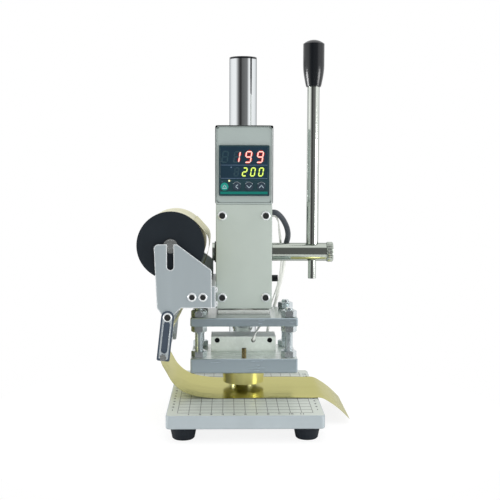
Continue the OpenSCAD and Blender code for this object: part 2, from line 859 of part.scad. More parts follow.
// Foil carrier
lug_ys = [sheet_front, sheet_back - lug_t];

module bracket_bar() {
    color([0.62, 0.66, 0.68]) difference() {
        translate([bar_left, sheet_front, bar_z]) cube([bar_t, sheet_back - sheet_front, bar_h]);
        for (y = bar_screw_ys)
            x_rod(bar_screw_d + 2 * seat_gap, bar_left - over, -head_side + over, y, bar_z + bar_screw_rise);
        for (y = lug_ys, rise = lug_screw_rises)
            x_rod(lug_screw_d + 2 * seat_gap, bar_left - over, -head_side + over,
                y + lug_t / 2, bar_z + rise);
        x_rod(lug_screw_head_d + 1, -head_side - lug_screw_head_h, -head_side + over,
            lug_ys[1] + lug_t / 2, bar_z + lug_screw_rises[0]);
        x_rod(lug_screw_head_d + 1, -head_side - lug_screw_head_h, -head_side + over,
            lug_ys[1] + lug_t / 2, bar_z + lug_screw_rises[1]);
    }
}

module bracket_lugs() {
    screw_z = bar_z + plate_screw_rise;
    color([0.6, 0.64, 0.66]) for (i = [0, 1]) difference() {
        translate([lug_left, lug_ys[i], bar_z]) cube([lug_w, lug_t, bar_h]);
        for (x = plate_screw_xs)
            y_rod(plate_screw_d + 2 * seat_gap,
                i == 0 ? lug_ys[0] - over : sheet_back - plate_screw_len - 0.5,
                i == 0 ? lug_ys[0] + plate_screw_len + 0.5 : sheet_back + over, x, screw_z);
        for (rise = lug_screw_rises)
            x_rod(lug_screw_d + 2 * seat_gap, bar_left - lug_screw_len - 1, bar_left + over,
                lug_ys[i] + lug_t / 2, bar_z + rise);
    }
}

function polar(r, a) = r * [cos(a), sin(a)];

function arc(c, r, a0, a1) = [for (k = [0:8]) c + polar(r, a0 + (a1 - a0) * k / 8)];

module bracket_outline() {
    left = roll_x - sheet_left;
    low_left = roll_x - sheet_left_low;
    top = roll_z + sheet_top;
    right = bar_left + sheet_edge;
    nose_z = roll_z - sheet_nose_drop;
    slope = atan2(top - nose_z, right - roll_x - sheet_shoulder);
    slot_w = roll_shaft_d + 2 * seat_gap;
    difference() {
        polygon(concat(
            arc([left + sheet_r, top - sheet_r], sheet_r, 180, 90),
            [[roll_x + sheet_shoulder, top]],
            arc([right - sheet_nose_r, nose_z - sheet_nose_r], sheet_nose_r, 90 - slope, 0),
            [[right, bar_z], [pivot_x + sheet_lobe_r + sheet_chin_x, bar_z]],
            arc([pivot_x, pivot_z], sheet_lobe_r, sheet_lobe_rise, -180 - sheet_lobe_rise),
            [[low_left, bar_z]]
        ));
        translate([roll_x - slot_w / 2, roll_z - sheet_slot_depth])
            square([slot_w, sheet_slot_depth + sheet_top + over]);
        translate([roll_x, roll_z - sheet_slot_depth]) circle(d = slot_w);
        translate([pivot_x, pivot_z]) circle(d = pivot_d + 2 * seat_gap);
        for (x = plate_screw_xs)
            translate([x, bar_z + plate_screw_rise]) circle(d = plate_screw_d + 2 * seat_gap);
    }
}

module bracket_plates() {
    color([0.6, 0.65, 0.69]) union() {
        xz_plate(sheet_front - sheet_t, sheet_t) bracket_outline();
        xz_plate(sheet_back, sheet_t) bracket_outline();
    }
}

// Plate screws, lug screws, bar screws and the pivot screws with their nuts
module bracket_screws() {
    screw_z = bar_z + plate_screw_rise;
    pivot_len = 2 * sheet_t + pivot_nut_t;
    color([0.45, 0.46, 0.48]) union() {
        for (x = plate_screw_xs) {
            front_facing(x, sheet_front - sheet_t, screw_z)
                button_screw(plate_screw_head_d, plate_screw_head_h, plate_screw_d,
                    sheet_t + plate_screw_len, button_socket_af);
            rear_facing(x, sheet_back + sheet_t, screw_z)
                button_screw(plate_screw_head_d, plate_screw_head_h, plate_screw_d,
                    sheet_t + plate_screw_len, button_socket_af);
        }
        for (rise = lug_screw_rises) {
            right_facing(-head_side, lug_ys[0] + lug_t / 2, bar_z + rise)
                cap_screw(lug_screw_head_d, lug_screw_head_h, lug_screw_d, bar_t + lug_screw_len, 2);
            right_facing(-head_side - lug_screw_head_h, lug_ys[1] + lug_t / 2, bar_z + rise)
                cap_screw(lug_screw_head_d, lug_screw_head_h - 0.2, lug_screw_d,
                    bar_t - lug_screw_head_h + lug_screw_len, 2);
        }
        for (y = bar_screw_ys)
            left_facing(bar_left, y, bar_z + bar_screw_rise)
                cap_screw(bar_screw_head_d, bar_screw_head_h, bar_screw_d, bar_t + bar_screw_len, 4);
        front_facing(pivot_x, sheet_front - 2 * sheet_t, pivot_z)
            button_screw(pivot_head_d, pivot_head_h, pivot_d, pivot_len, button_socket_af);
        rear_facing(pivot_x, sheet_back + 2 * sheet_t, pivot_z)
            button_screw(pivot_head_d, pivot_head_h, pivot_d, pivot_len, button_socket_af);
        for (y = [sheet_front, sheet_back - pivot_nut_t]) difference() {
            rear_facing(pivot_x, y, pivot_z) hex_bar(pivot_nut_af, pivot_nut_t);
            y_rod(pivot_d + 2 * seat_gap, y - over, y + pivot_nut_t + over, pivot_x, pivot_z);
        }
    }
}

module roll_shaft() {
    color([0.6, 0.61, 0.63]) y_rod(roll_shaft_d, sheet_front - sheet_t, sheet_back + sheet_t, roll_x, roll_z);
}

module shaft_nuts() {
    color([0.55, 0.56, 0.58]) for (y = [sheet_front, sheet_back - shaft_nut_t]) difference() {
        y_rod(shaft_nut_d, y, y + shaft_nut_t, roll_x, roll_z);
        y_rod(roll_shaft_d + 2 * seat_gap, y - over, y + shaft_nut_t + over, roll_x, roll_z);
    }
}

// A disc from y0 towards +Y and its boss inside the core from boss_y
module roll_disc(d, y0, boss_y) {
    bore_d = roll_shaft_d + 2 * run_gap;
    boss_d = core_d - 2 * core_wall - 2 * seat_gap;
    difference() {
        union() {
            y_rod(d, y0, y0 + disc_t, roll_x, roll_z);
            y_rod(boss_d, boss_y - 0.5, boss_y + disc_boss_t + 0.5, roll_x, roll_z);
        }
        y_rod(bore_d, y0 - disc_boss_t - over, y0 + disc_t + disc_boss_t + over, roll_x, roll_z);
    }
}

module roll_discs() {
    color([0.12, 0.13, 0.16]) union() {
        roll_disc(disc_d, roll_front - disc_t, roll_front);
        roll_disc(rear_disc_d, roll_back, roll_back - disc_boss_t);
    }
}

module roll_core() {
    color([0.65, 0.52, 0.36]) difference() {
        y_rod(core_d, roll_front, roll_back, roll_x, roll_z);
        y_rod(core_d - 2 * core_wall, roll_front - over, roll_back + over, roll_x, roll_z);
    }
}

module foil_roll() {
    color([0.86, 0.78, 0.5]) difference() {
        y_rod(roll_d, roll_front, roll_back, roll_x, roll_z);
        y_rod(core_d + 2 * seat_gap, roll_front - over, roll_back + over, roll_x, roll_z);
    }
}

// The foil leaves the roll in a loose turn, goes over the guide roller, lies on the bench
// and hangs over its right edge
foil_path = spline(concat(
    [for (a = [0:8:16]) [roll_x, roll_z] + polar(foil_leave + foil_loosen * a * a, foil_leave_angle - a)],
    [
        [roll_x + 34.4, roll_z + 8], [roll_x + 34.8, roll_z - 3], [roll_x + 31.8, roll_z - 14],
        [roll_x + 24.5, roll_z - 30], [roll_x + 9.5, roll_z - 62]
    ],
    [for (a = [150:20:190]) [roller_x, roller_z] + polar(foil_wrap, a)],
    [
        [roller_x - 2.6, roller_z - 8], [roller_x + 1.6, roller_z - 16],
        [roller_x + 8.6, bench_top + 14.5], [roller_x + 19.4, bench_top + 6],
        [roller_x + 30, bench_top + 2.6], [roller_x + 45, bench_top + foil_lift],
        [0, bench_top + foil_lift], [bench_w / 2 - 8, bench_top + foil_lift],
        [bench_w / 2 + 3, bench_top + foil_lift - 0.3], [bench_w / 2 + 12, bench_top - 4.5],
        [bench_w / 2 + 20, bench_top - 10.5], [bench_w / 2 + 29.7, bench_top - 20]
    ]
), foil_steps);

function foil_side(s) = [for (i = [0:len(foil_path) - 1])
    let (t = heading(foil_path, i)) foil_path[i] + s * foil_t / 2 * [-t[1], t[0]]];

module foil_strip() {
    near = foil_side(1);
    far = foil_side(-1);
    color([0.87, 0.8, 0.52]) xz_plate(roll_front, roll_len)
        polygon(concat(near, [for (i = [len(far) - 1:-1:0]) far[i]]));
}

module guide_arm_outline() {
    end = arm_len + arm_tail;
    translate([pivot_x, pivot_z]) rotate(-arm_tilt) difference() {
        union() {
            circle(d = arm_w);
            translate([-arm_w / 2, arm_corner - end]) square([arm_w, end - arm_corner]);
            translate([arm_corner - arm_w / 2, -end]) square([arm_w - 2 * arm_corner, end]);
            for (side = [-1, 1])
                translate([side * (arm_w / 2 - arm_corner), arm_corner - end]) circle(r = arm_corner);
        }
        circle(d = pivot_d + 2 * run_gap);
        translate([0, -arm_len]) circle(d = roller_pin_d + 2 * seat_gap);
    }
}

module guide_arm_slot() {
    slot_len = arm_len - arm_slot_top - arm_slot_low;
    translate([pivot_x, pivot_z]) rotate(-arm_tilt) {
        translate([-arm_slot_w / 2, -arm_slot_top - slot_len]) square([arm_slot_w, slot_len]);
        translate([0, -arm_slot_top]) circle(d = arm_slot_w);
        translate([0, -arm_slot_top - slot_len]) circle(d = arm_slot_w);
    }
}

// Two arms, each with a blind slot in its outer face
module guide_arms() {
    front = sheet_front - 2 * sheet_t;
    back = sheet_back + sheet_t;
    color([0.75, 0.78, 0.8]) union() {
        difference() {
            xz_plate(front, sheet_t) guide_arm_outline();
            xz_plate(front - over, arm_slot_depth + over) guide_arm_slot();
        }
        difference() {
            xz_plate(back, sheet_t) guide_arm_outline();
            xz_plate(back + sheet_t - arm_slot_depth, arm_slot_depth + over) guide_arm_slot();
        }
    }
}

module roller_pin() {
    front = sheet_front - 2 * sheet_t;
    back = sheet_back + 2 * sheet_t;
    color([0.6, 0.61, 0.63]) union() {
        y_rod(roller_pin_d, front, back, roller_x, roller_z);
        y_rod(pin_nut_d, front - pin_nut_t, front, roller_x, roller_z);
        y_rod(pin_nut_d, back, back + pin_nut_t, roller_x, roller_z);
    }
}

module guide_roller() {
    front = sheet_front - sheet_t + roller_end_gap;
    back = sheet_back + sheet_t - roller_end_gap;
    color([0.8, 0.81, 0.82]) difference() {
        y_rod(roller_d, front, back, roller_x, roller_z);
        y_rod(roller_pin_d + 2 * run_gap, front - over, back + over, roller_x, roller_z);
    }
}

// Return spring between the lower bush and the ram's collar
spring_low = head_bottom + ram_bush_h;
spring_high = ram_collar_z;
spring_rings = 8 * spring_coils;
spring_path = [for (i = [0:spring_rings])
    let (a = 360 * i / 8, rise = spring_high - spring_low - spring_wire_d - 0.4)
        [spring_r * cos(a), ram_y + spring_r * sin(a),
            spring_low + spring_wire_d / 2 + 0.2 + rise * i / spring_rings]];
// Least gap of the spring to itself, between points that lie more than half a coil apart
spring_self_gap = min([for (i = [0:spring_rings - 6], j = [i + 6:spring_rings])
    norm(spring_path[i] - spring_path[j])]) - spring_wire_d;
echo(spring_self_gap = spring_self_gap);

module return_spring() {
    color([0.5, 0.51, 0.53])
        tube(spring_path, [for (p = spring_path) spring_wire_d / 2], 6, [0, 0, 1]);
}

// Leads, each along points chosen by hand from the head's right side, the ram's axis and a height
function lead_at(dx, dy, z) = [head_side + dx, ram_y + dy, z];

heater_route = [
    [head_side - 4, sleeve_y, sleeve_z], [head_side + 2, sleeve_y, sleeve_z],
    [head_side + 5, sleeve_y, sleeve_z],
    lead_at(10, 25.2, head_top - 13), lead_at(14.8, 28, head_top - 19.5),
    lead_at(18, 31, head_top - 27), lead_at(19, 35, head_top - 34.5),
    lead_at(17.6, 39, head_top - 42), lead_at(16.4, 41.5, head_top - 51.5),
    lead_at(15.8, 43, head_top - 61.5), lead_at(14.6, 44, head_bottom + 29.5),
    lead_at(12.4, 45, head_bottom + 18.5), lead_at(9.6, 46, head_bottom + 6.5),
    lead_at(6.5, 46.5, hot_top + 39.5), lead_at(3, 46, hot_top + 28.5),
    lead_at(0.5, 44, hot_top + 20), [heater_spacing / 2, ram_y + 39, hot_top + 13.4],
    [heater_spacing / 2, block_front_y + heater_block_d + 6, heater_z],
    [heater_spacing / 2, block_front_y + heater_block_d + lead_seat, heater_z]
];
sleeve_points = 9;
sensor_route = [
    [sensor_x, block_front_y + 1, heater_z], [sensor_x, block_front_y - 3, heater_z + 0.6],
    [sensor_x + 0.9, ram_y - 6.2, hot_top + 14.3], [sensor_x + 2.7, ram_y - 3.5, hot_top + 18.5],
    [sensor_x + 5.1, ram_y + 4, hot_top + 21.5], lead_at(-9, 16, hot_top + 23.1),
    lead_at(-5.8, 30, hot_top + 24.1), lead_at(-3, 40, hot_top + 27),
    lead_at(0.4, 44.2, hot_top + 34.5), lead_at(4, 43.6, head_bottom),
    lead_at(8.4, 42.5, head_bottom + 12), lead_at(11.6, 40.5, head_bottom + 26.5),
    lead_at(12.6, 38.5, head_bottom + 41.5), lead_at(12, 36, head_top - 45.5),
    lead_at(10.8, 33, head_top - 35), lead_at(9.4, 30.2, head_top - 25.5),
    lead_at(8.2, 28, head_top - 18), [head_side + 5, sensor_lead_y, sensor_lead_z],
    [head_side + 2, sensor_lead_y, sensor_lead_z], [head_side - 4, sensor_lead_y, sensor_lead_z]
];
lead_steps = 3;

module lead_grommet() {
    inner_x = head_side - grommet_len - over;
    outer_x = head_side + grommet_rim_t + over;
    color([0.05, 0.05, 0.06]) difference() {
        union() {
            x_rod(lead_hole_d - 2 * seat_gap, head_side - grommet_len, head_side + grommet_rim_t / 2,
                lead_y, lead_z);
            x_rod(lead_hole_d + 2 * grommet_rim, head_side, head_side + grommet_rim_t, lead_y, lead_z);
        }
        x_rod(sleeve_d + 2 * lead_bore_gap, inner_x, outer_x, sleeve_y, sleeve_z);
        x_rod(sensor_lead_d + 2 * lead_bore_gap, inner_x, outer_x, sensor_lead_y, sensor_lead_z);
    }
}

module heater_lead() {
    path = spline(heater_route, lead_steps);
    sleeve_end = (sleeve_points - 1) * lead_steps;
    radii = [for (i = [0:len(path) - 1]) (i <= sleeve_end ? sleeve_d : heater_lead_d) / 2];
    color([0.2, 0.21, 0.23]) tube(path, radii, 8, [1, 0, 1]);
}

module sensor_lead() {
    path = spline(sensor_route, lead_steps);
    color([0.9, 0.9, 0.88]) tube(path, [for (p = path) sensor_lead_d / 2], 8, [1, 0, 1]);
}

// Ram
module rack_space(z) {
    half = tooth_pitch / 4 + backlash / 2;
    tip = gear_module - rack_tip_relief;
    root = 1.25 * gear_module;
    t = tan(pressure_angle);
    translate([-ram_d, 0, z]) rotate([90, 0, 90]) linear_extrude(2 * ram_d) polygon([
        [rack_line_y + tip + over, half + (tip + over) * t], [rack_line_y - root, half - root * t],
        [rack_line_y - root, -half + root * t], [rack_line_y + tip + over, -half - (tip + over) * t]
    ]);
}

module ram() {
    tip_y = rack_line_y + gear_module - rack_tip_relief;
    rack_low = shaft_z - (rack_spaces_down + 0.4) * tooth_pitch;
    rack_high = shaft_z + (rack_spaces_up + 0.6) * tooth_pitch;
    color([0.68, 0.7, 0.72]) difference() {
        union() {
            z_rod(ram_d, flange_top - 0.5, flange_top + ram_len, 0, ram_y);
            z_rod(ram_bore_d - 2 * bore_gap, ram_collar_z, ram_collar_z + ram_collar_t, 0, ram_y);
            translate([-ram_flange_w / 2, ram_y - ram_flange_d / 2, upper_top])
                cube([ram_flange_w, ram_flange_d, ram_flange_t]);
        }
        translate([-ram_d, tip_y, rack_low]) cube([2 * ram_d, ram_d, rack_high - rack_low]);
        for (k = [-rack_spaces_down:rack_spaces_up]) rack_space(shaft_z + k * tooth_pitch);
        z_rod(ram_bolt_d + 2 * seat_gap, upper_top - over, flange_top + ram_bolt_grip + 1, 0, ram_y);
    }
}

module ram_bolt() {
    color([0.5, 0.51, 0.53]) translate([0, ram_y, upper_bottom]) mirror([0, 0, 1])
        cap_screw(ram_bolt_head_d, ram_bolt_head_h, ram_bolt_d,
            upper_plate_t + ram_flange_t + ram_bolt_grip, 6);
}

module upper_plate() {
    color([0.62, 0.66, 0.7]) difference() {
        translate([0, plate_y, upper_bottom])
            soft_plate(plate_w, plate_d, upper_plate_t, plate_r, plate_chamfer);
        for (x = stud_xs, y = stud_ys)
            z_rod(stud_d + 0.4, upper_bottom - over, upper_top + over, x, y);
        z_rod(ram_bolt_d + 2 * seat_gap, upper_bottom - over, upper_top + over, 0, ram_y);
    }
}

module balance_studs() {
    color([0.66, 0.68, 0.7]) for (x = stud_xs, y = stud_ys)
        z_rod(stud_d, hot_top - stud_depth, upper_top + nut_h + stud_proud, x, y);
}

module stud_nut(x, y, z, gap) {
    difference() {
        translate([x, y, z]) hex_bar(nut_af, nut_h);
        z_rod(stud_d + 2 * gap, z - over, z + nut_h + over, x, y);
    }
}

module stud_nuts() {
    color([0.62, 0.64, 0.66]) for (x = stud_xs, y = stud_ys, z = [hot_top, upper_bottom - nut_h])
        stud_nut(x, y, z, seat_gap);
}

module balance_nut(ix, iy) {
    color([0.66, 0.68, 0.7]) stud_nut(stud_xs[ix], stud_ys[iy], upper_top, run_gap);
}

module balance_nut_front_left() { balance_nut(0, 0); }
module balance_nut_front_right() { balance_nut(1, 0); }
module balance_nut_rear_left() { balance_nut(0, 1); }
module balance_nut_rear_right() { balance_nut(1, 1); }

// Hot plate
die_screw_y = plate_y - plate_d / 2 + die_screw_inset;

module hot_plate() {
    color([0.64, 0.67, 0.71]) difference() {
        translate([0, plate_y, hot_bottom])
            soft_plate(plate_w, plate_d, hot_plate_t, plate_r, plate_chamfer);
        for (x = stud_xs, y = stud_ys)
            z_rod(stud_d + 2 * seat_gap, hot_top - stud_depth - 0.2, hot_top + over, x, y);
        z_rod(die_spigot_d + 2 * seat_gap, hot_bottom - over, hot_bottom + die_spigot_h + 0.2, 0, ram_y);
        z_rod(die_screw_d + 2 * seat_gap, hot_top - die_screw_down - 0.2, hot_top + over, 0, die_screw_y);
    }
}

module heater_block() {
    back = block_front_y + heater_block_d;
    color([0.78, 0.8, 0.77]) difference() {
        translate([-heater_block_w / 2, block_front_y, hot_top])
            cube([heater_block_w, heater_block_d, heater_block_h]);
        for (x = [-heater_spacing / 2, heater_spacing / 2])
            y_rod(heater_d + 2 * seat_gap, block_front_y - over, back + over, x, heater_z);
        y_rod(sensor_lead_d + 0.6, block_front_y - over, block_front_y + sensor_depth, sensor_x, heater_z);
    }
}

module heaters() {
    back = block_front_y + heater_block_d;
    color([0.08, 0.08, 0.08]) for (x = [-heater_spacing / 2, heater_spacing / 2]) difference() {
        y_rod(heater_d, block_front_y + heater_inset, back, x, heater_z);
        y_rod(heater_d / 3, block_front_y, block_front_y + heater_inset + 2, x, heater_z);
    }
}

module brass_die() {
    face_r = die_d / 2 - die_rim;
    color([0.78, 0.62, 0.3]) difference() {
        union() {
            z_rod(die_d, die_bottom + die_step, hot_bottom, 0, ram_y);
            z_rod(2 * face_r, die_bottom, die_bottom + die_step + 0.5, 0, ram_y);
            z_rod(die_spigot_d, hot_bottom - 0.5, hot_bottom + die_spigot_h, 0, ram_y);
        }
        for (r = [face_r - die_ring, face_r - 3 * die_ring, face_r - 5 * die_ring]) difference() {
            z_rod(2 * r, die_bottom - over, die_bottom + die_groove, 0, ram_y);
            z_rod(2 * (r - die_ring), die_bottom - 2 * over, die_bottom + die_groove + over, 0, ram_y);
        }
    }
}

module die_screw() {
    color([0.66, 0.5, 0.24])
        z_rod(die_screw_d, hot_top - die_screw_down, hot_top + die_screw_up, 0, die_screw_y);
}

// Handle
function involute(a) = tan(a) * 180 / PI - a;

function tooth_half_angle(r) =
    90 / pinion_teeth - backlash / 4 / pitch_r * 180 / PI + involute(pressure_angle)
        - (r > base_r ? involute(acos(base_r / r)) : 0);

pinion_radii = [pinion_root_r, base_r, pitch_r - 0.2 * gear_module, pitch_r, pitch_r + 0.5 * gear_module,
    pitch_r + gear_module - pinion_tip_relief];

module pinion_outline() {
    polygon([for (k = [0:pinion_teeth - 1]) let (mid = 360 * k / pinion_teeth) each concat(
        [for (i = [0:len(pinion_radii) - 1]) let (r = pinion_radii[i], a = mid - tooth_half_angle(r))
            r * [cos(a), sin(a)]],
        [for (i = [len(pinion_radii) - 1:-1:0]) let (r = pinion_radii[i], a = mid + tooth_half_angle(r))
            r * [cos(a), sin(a)]]
    )]);
}

module cross_shaft() {
    stub = -head_side - shaft_stub;
    color([0.7, 0.72, 0.74]) difference() {
        union() {
            x_rod(shaft_d, stub, -pinion_half, shaft_y, shaft_z);
            x_rod(shaft_d, pinion_half, shaft_end, shaft_y, shaft_z);
            translate([-pinion_half - 0.5, shaft_y, shaft_z]) rotate([90, 0, 90])
                linear_extrude(2 * pinion_half + 1) pinion_outline();
        }
        z_rod(rod_tail_d + 2 * seat_gap, shaft_z - shaft_d, shaft_z + shaft_d, handle_x, shaft_y);
        z_rod(rod_d + 2 * seat_gap, rod_seat_z, shaft_z + shaft_d, handle_x, shaft_y);
        x_rod(set_screw_d + 2 * run_gap, handle_x, shaft_end + over, shaft_y, shaft_z);
        for (x = [-head_side - clip_gap - clip_t, head_side + clip_gap]) difference() {
            x_rod(shaft_d + 2, x - seat_gap, x + clip_t + seat_gap, shaft_y, shaft_z);
            x_rod(shaft_d - 2 * clip_groove, x - over, x + clip_t + over, shaft_y, shaft_z);
        }
    }
}

module shaft_clips() {
    color([0.15, 0.15, 0.16]) for (x = [-head_side - clip_gap - clip_t, head_side + clip_gap]) difference() {
        x_rod(shaft_d + 2 * clip_rim, x, x + clip_t, shaft_y, shaft_z);
        x_rod(shaft_d - 2 * clip_groove + 2 * seat_gap, x - over, x + clip_t + over, shaft_y, shaft_z);
    }
}

grip_neck_d = 15;
// Height of the tapered part of the grip, below its barrel
grip_taper_h = 22;
grip_lip = 0.8;
grip_dome_h = 4;
// Radius of the sphere that the top of the grip is cut from
grip_cap_r = (grip_d * grip_d / 4 + grip_dome_h * grip_dome_h) / (2 * grip_dome_h);

function grip_cap_z(r) = sqrt(grip_cap_r * grip_cap_r - r * r) - grip_cap_r + grip_dome_h;

rod_spigot_d = 8;
rod_spigot_len = 30;
grip_low = grip_top - grip_len;

module handle_rod() {
    color([0.72, 0.74, 0.76]) union() {
        z_rod(rod_tail_d, shaft_z - rod_tail_len, rod_seat_z + 0.5, handle_x, shaft_y);
        z_rod(rod_d, rod_seat_z, grip_low, handle_x, shaft_y);
        z_rod(rod_spigot_d, grip_low - 0.5, grip_low + rod_spigot_len, handle_x, shaft_y);
    }
}

// A grip that swells from its neck to the dome on its top
module handle_grip() {
    bore_r = rod_spigot_d / 2 + seat_gap;
    neck_r = grip_neck_d / 2;
    grip_r = grip_d / 2;
    dome_z = grip_len - grip_dome_h;
    color([0.05, 0.05, 0.06]) translate([handle_x, shaft_y, grip_low]) rotate_extrude() polygon(concat(
        [[bore_r, 0], [neck_r - grip_lip, 0]],
        [for (t = [0:0.125:1])
            [neck_r + (grip_r - neck_r) * sin(90 * t), grip_lip + (grip_taper_h - grip_lip) * t]],
        [for (share = [1:-0.2:0.2]) [grip_r * share, dome_z + grip_cap_z(grip_r * share)]],
        [[0, grip_len], [0, rod_spigot_len + 1], [bore_r, rod_spigot_len + 1]]
    ));
}

set_screw_d = 6;
knob_gap = 0.3;

module set_knob() {
    knob_x = shaft_end + knob_gap;
    tip_x = handle_x + rod_tail_d / 2 + knob_gap;
    color([0.66, 0.68, 0.7]) union() {
        x_rod(knob_d, knob_x, knob_x + knob_len, shaft_y, shaft_z);
        x_rod(set_screw_d, tip_x, knob_x + 0.5, shaft_y, shaft_z);
    }
}

bench_plate();
rubber_feet();
foot_screws();
strut();
strut_bolt();
strut_cap();
head_block();
front_cover();
cover_screws();
ram_bushes();
shaft_bushes();
control_box();
control_box_face();
control_box_back();
box_screws();
controller_body();
display_window();
key_mode();
key_shift_left();
key_down();
key_up();
cord_gland();
height_lock_screw();
lock_nut();
bracket_bar();
bracket_lugs();
bracket_plates();
bracket_screws();
roll_shaft();
shaft_nuts();
foil_strip();
return_spring();
lead_grommet();
heater_lead();
sensor_lead();
foil_roll();
roll_core();
roll_discs();
guide_arms();
roller_pin();
guide_roller();
ram();
ram_bolt();
upper_plate();
balance_studs();
stud_nuts();
balance_nut_front_left();
balance_nut_front_right();
balance_nut_rear_left();
balance_nut_rear_right();
hot_plate();
heater_block();
heaters();
brass_die();
die_screw();
cross_shaft();
shaft_clips();
handle_rod();
handle_grip();
set_knob();
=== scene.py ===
"""Looks of a hot foil stamping machine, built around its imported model. Metres, +Z up, front at -Y."""
import math

import bmesh
import bpy
from mathutils import Matrix, Vector


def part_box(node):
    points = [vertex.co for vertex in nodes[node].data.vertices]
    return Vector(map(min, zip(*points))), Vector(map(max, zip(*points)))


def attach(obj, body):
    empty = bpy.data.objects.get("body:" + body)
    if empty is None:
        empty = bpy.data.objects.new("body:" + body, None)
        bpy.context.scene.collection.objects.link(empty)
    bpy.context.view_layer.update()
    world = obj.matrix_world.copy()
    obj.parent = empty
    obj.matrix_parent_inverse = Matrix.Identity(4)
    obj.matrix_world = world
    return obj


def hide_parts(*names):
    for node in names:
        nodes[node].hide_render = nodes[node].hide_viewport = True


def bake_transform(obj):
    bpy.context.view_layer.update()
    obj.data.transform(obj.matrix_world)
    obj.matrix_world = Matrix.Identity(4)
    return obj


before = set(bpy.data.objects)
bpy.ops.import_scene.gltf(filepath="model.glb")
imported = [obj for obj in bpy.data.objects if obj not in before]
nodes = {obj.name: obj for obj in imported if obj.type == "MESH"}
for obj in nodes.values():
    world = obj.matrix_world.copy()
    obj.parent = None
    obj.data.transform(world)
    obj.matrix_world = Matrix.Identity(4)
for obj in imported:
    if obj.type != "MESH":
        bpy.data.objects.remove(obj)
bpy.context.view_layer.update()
scene = bpy.context.scene
scene.view_settings.view_transform = "Standard"
MM = 0.001


# Camera, at the photograph's place and angle
CAMERA_AT = (-0.0162, -0.8444, 0.2352)
CAMERA_YAW = math.radians(1.49)
CAMERA_PITCH = math.radians(4.98)
CAMERA_ROLL = math.radians(0.17)
CAMERA_LENS, CAMERA_SENSOR = 63.5, 36.0
CAMERA_NEAR = 0.01


def add_camera():
    data = bpy.data.cameras.new("camera")
    data.lens = CAMERA_LENS
    data.sensor_width = CAMERA_SENSOR
    data.clip_start = CAMERA_NEAR
    obj = bpy.data.objects.new("camera", data)
    scene.collection.objects.link(obj)
    ahead = Vector((
        math.sin(CAMERA_YAW) * math.cos(CAMERA_PITCH),
        math.cos(CAMERA_YAW) * math.cos(CAMERA_PITCH),
        -math.sin(CAMERA_PITCH),
    ))
    obj.location = CAMERA_AT
    obj.rotation_mode = "QUATERNION"
    turn = ahead.to_track_quat("-Z", "Y").to_matrix() @ Matrix.Rotation(CAMERA_ROLL, 3, "Z")
    obj.rotation_quaternion = turn.to_quaternion()
    scene.camera = obj


add_camera()


# Materials
EVEN = (1, 1, 1)
ALONG_X, ALONG_Y, ALONG_Z = (0.07, 1, 1), (1, 0.07, 1), (1, 1, 0.07)
WHITE = (1, 1, 1, 1)
NOISE_LOW, NOISE_MIDDLE, NOISE_HIGH = 0.3, 0.5, 0.7
TONE_DETAIL, ROUGH_DETAIL, BUMP_DETAIL = 4.0, 3.0, 2.0
METAL_DRIFT, COAT_DRIFT, GLOW_DRIFT = 60.0, 35.0, 300.0
COAT_CLOUDS, GLOW_CLOUDS = 240.0, 200.0
GLOW_BASE, GLOW_DEPTH, GLOW_ROUGH = 0.4, 0.1, (0.3, 0.4)
SCRATCH_DEPTH, PEEL_DEPTH = 0.2 * MM, 0.3 * MM
EDGE, WIDE_EDGE = 0.35 * MM, 0.8 * MM
PAINT_EDGE = 0.7 * MM
# Width and threshold of a painted highlight along edges
EDGE_HIGHLIGHT_R, EDGE_HIGHLIGHT_BELOW = 1.5 * MM, 0.985
# Sockets of a colour mix node
MIX_SHARE, MIX_FROM, MIX_TO, MIX_RESULT = 0, 6, 7, 2


def linear(value):
    value = value / 255.0
    return value / 12.92 if value <= 0.04045 else ((value + 0.055) / 1.055) ** 2.4


def rgb(r, g, b):
    return (linear(r), linear(g), linear(b), 1.0)


def scaled(color, factor):
    return tuple(min(1.0, c * factor) for c in color[:3]) + (1.0,)


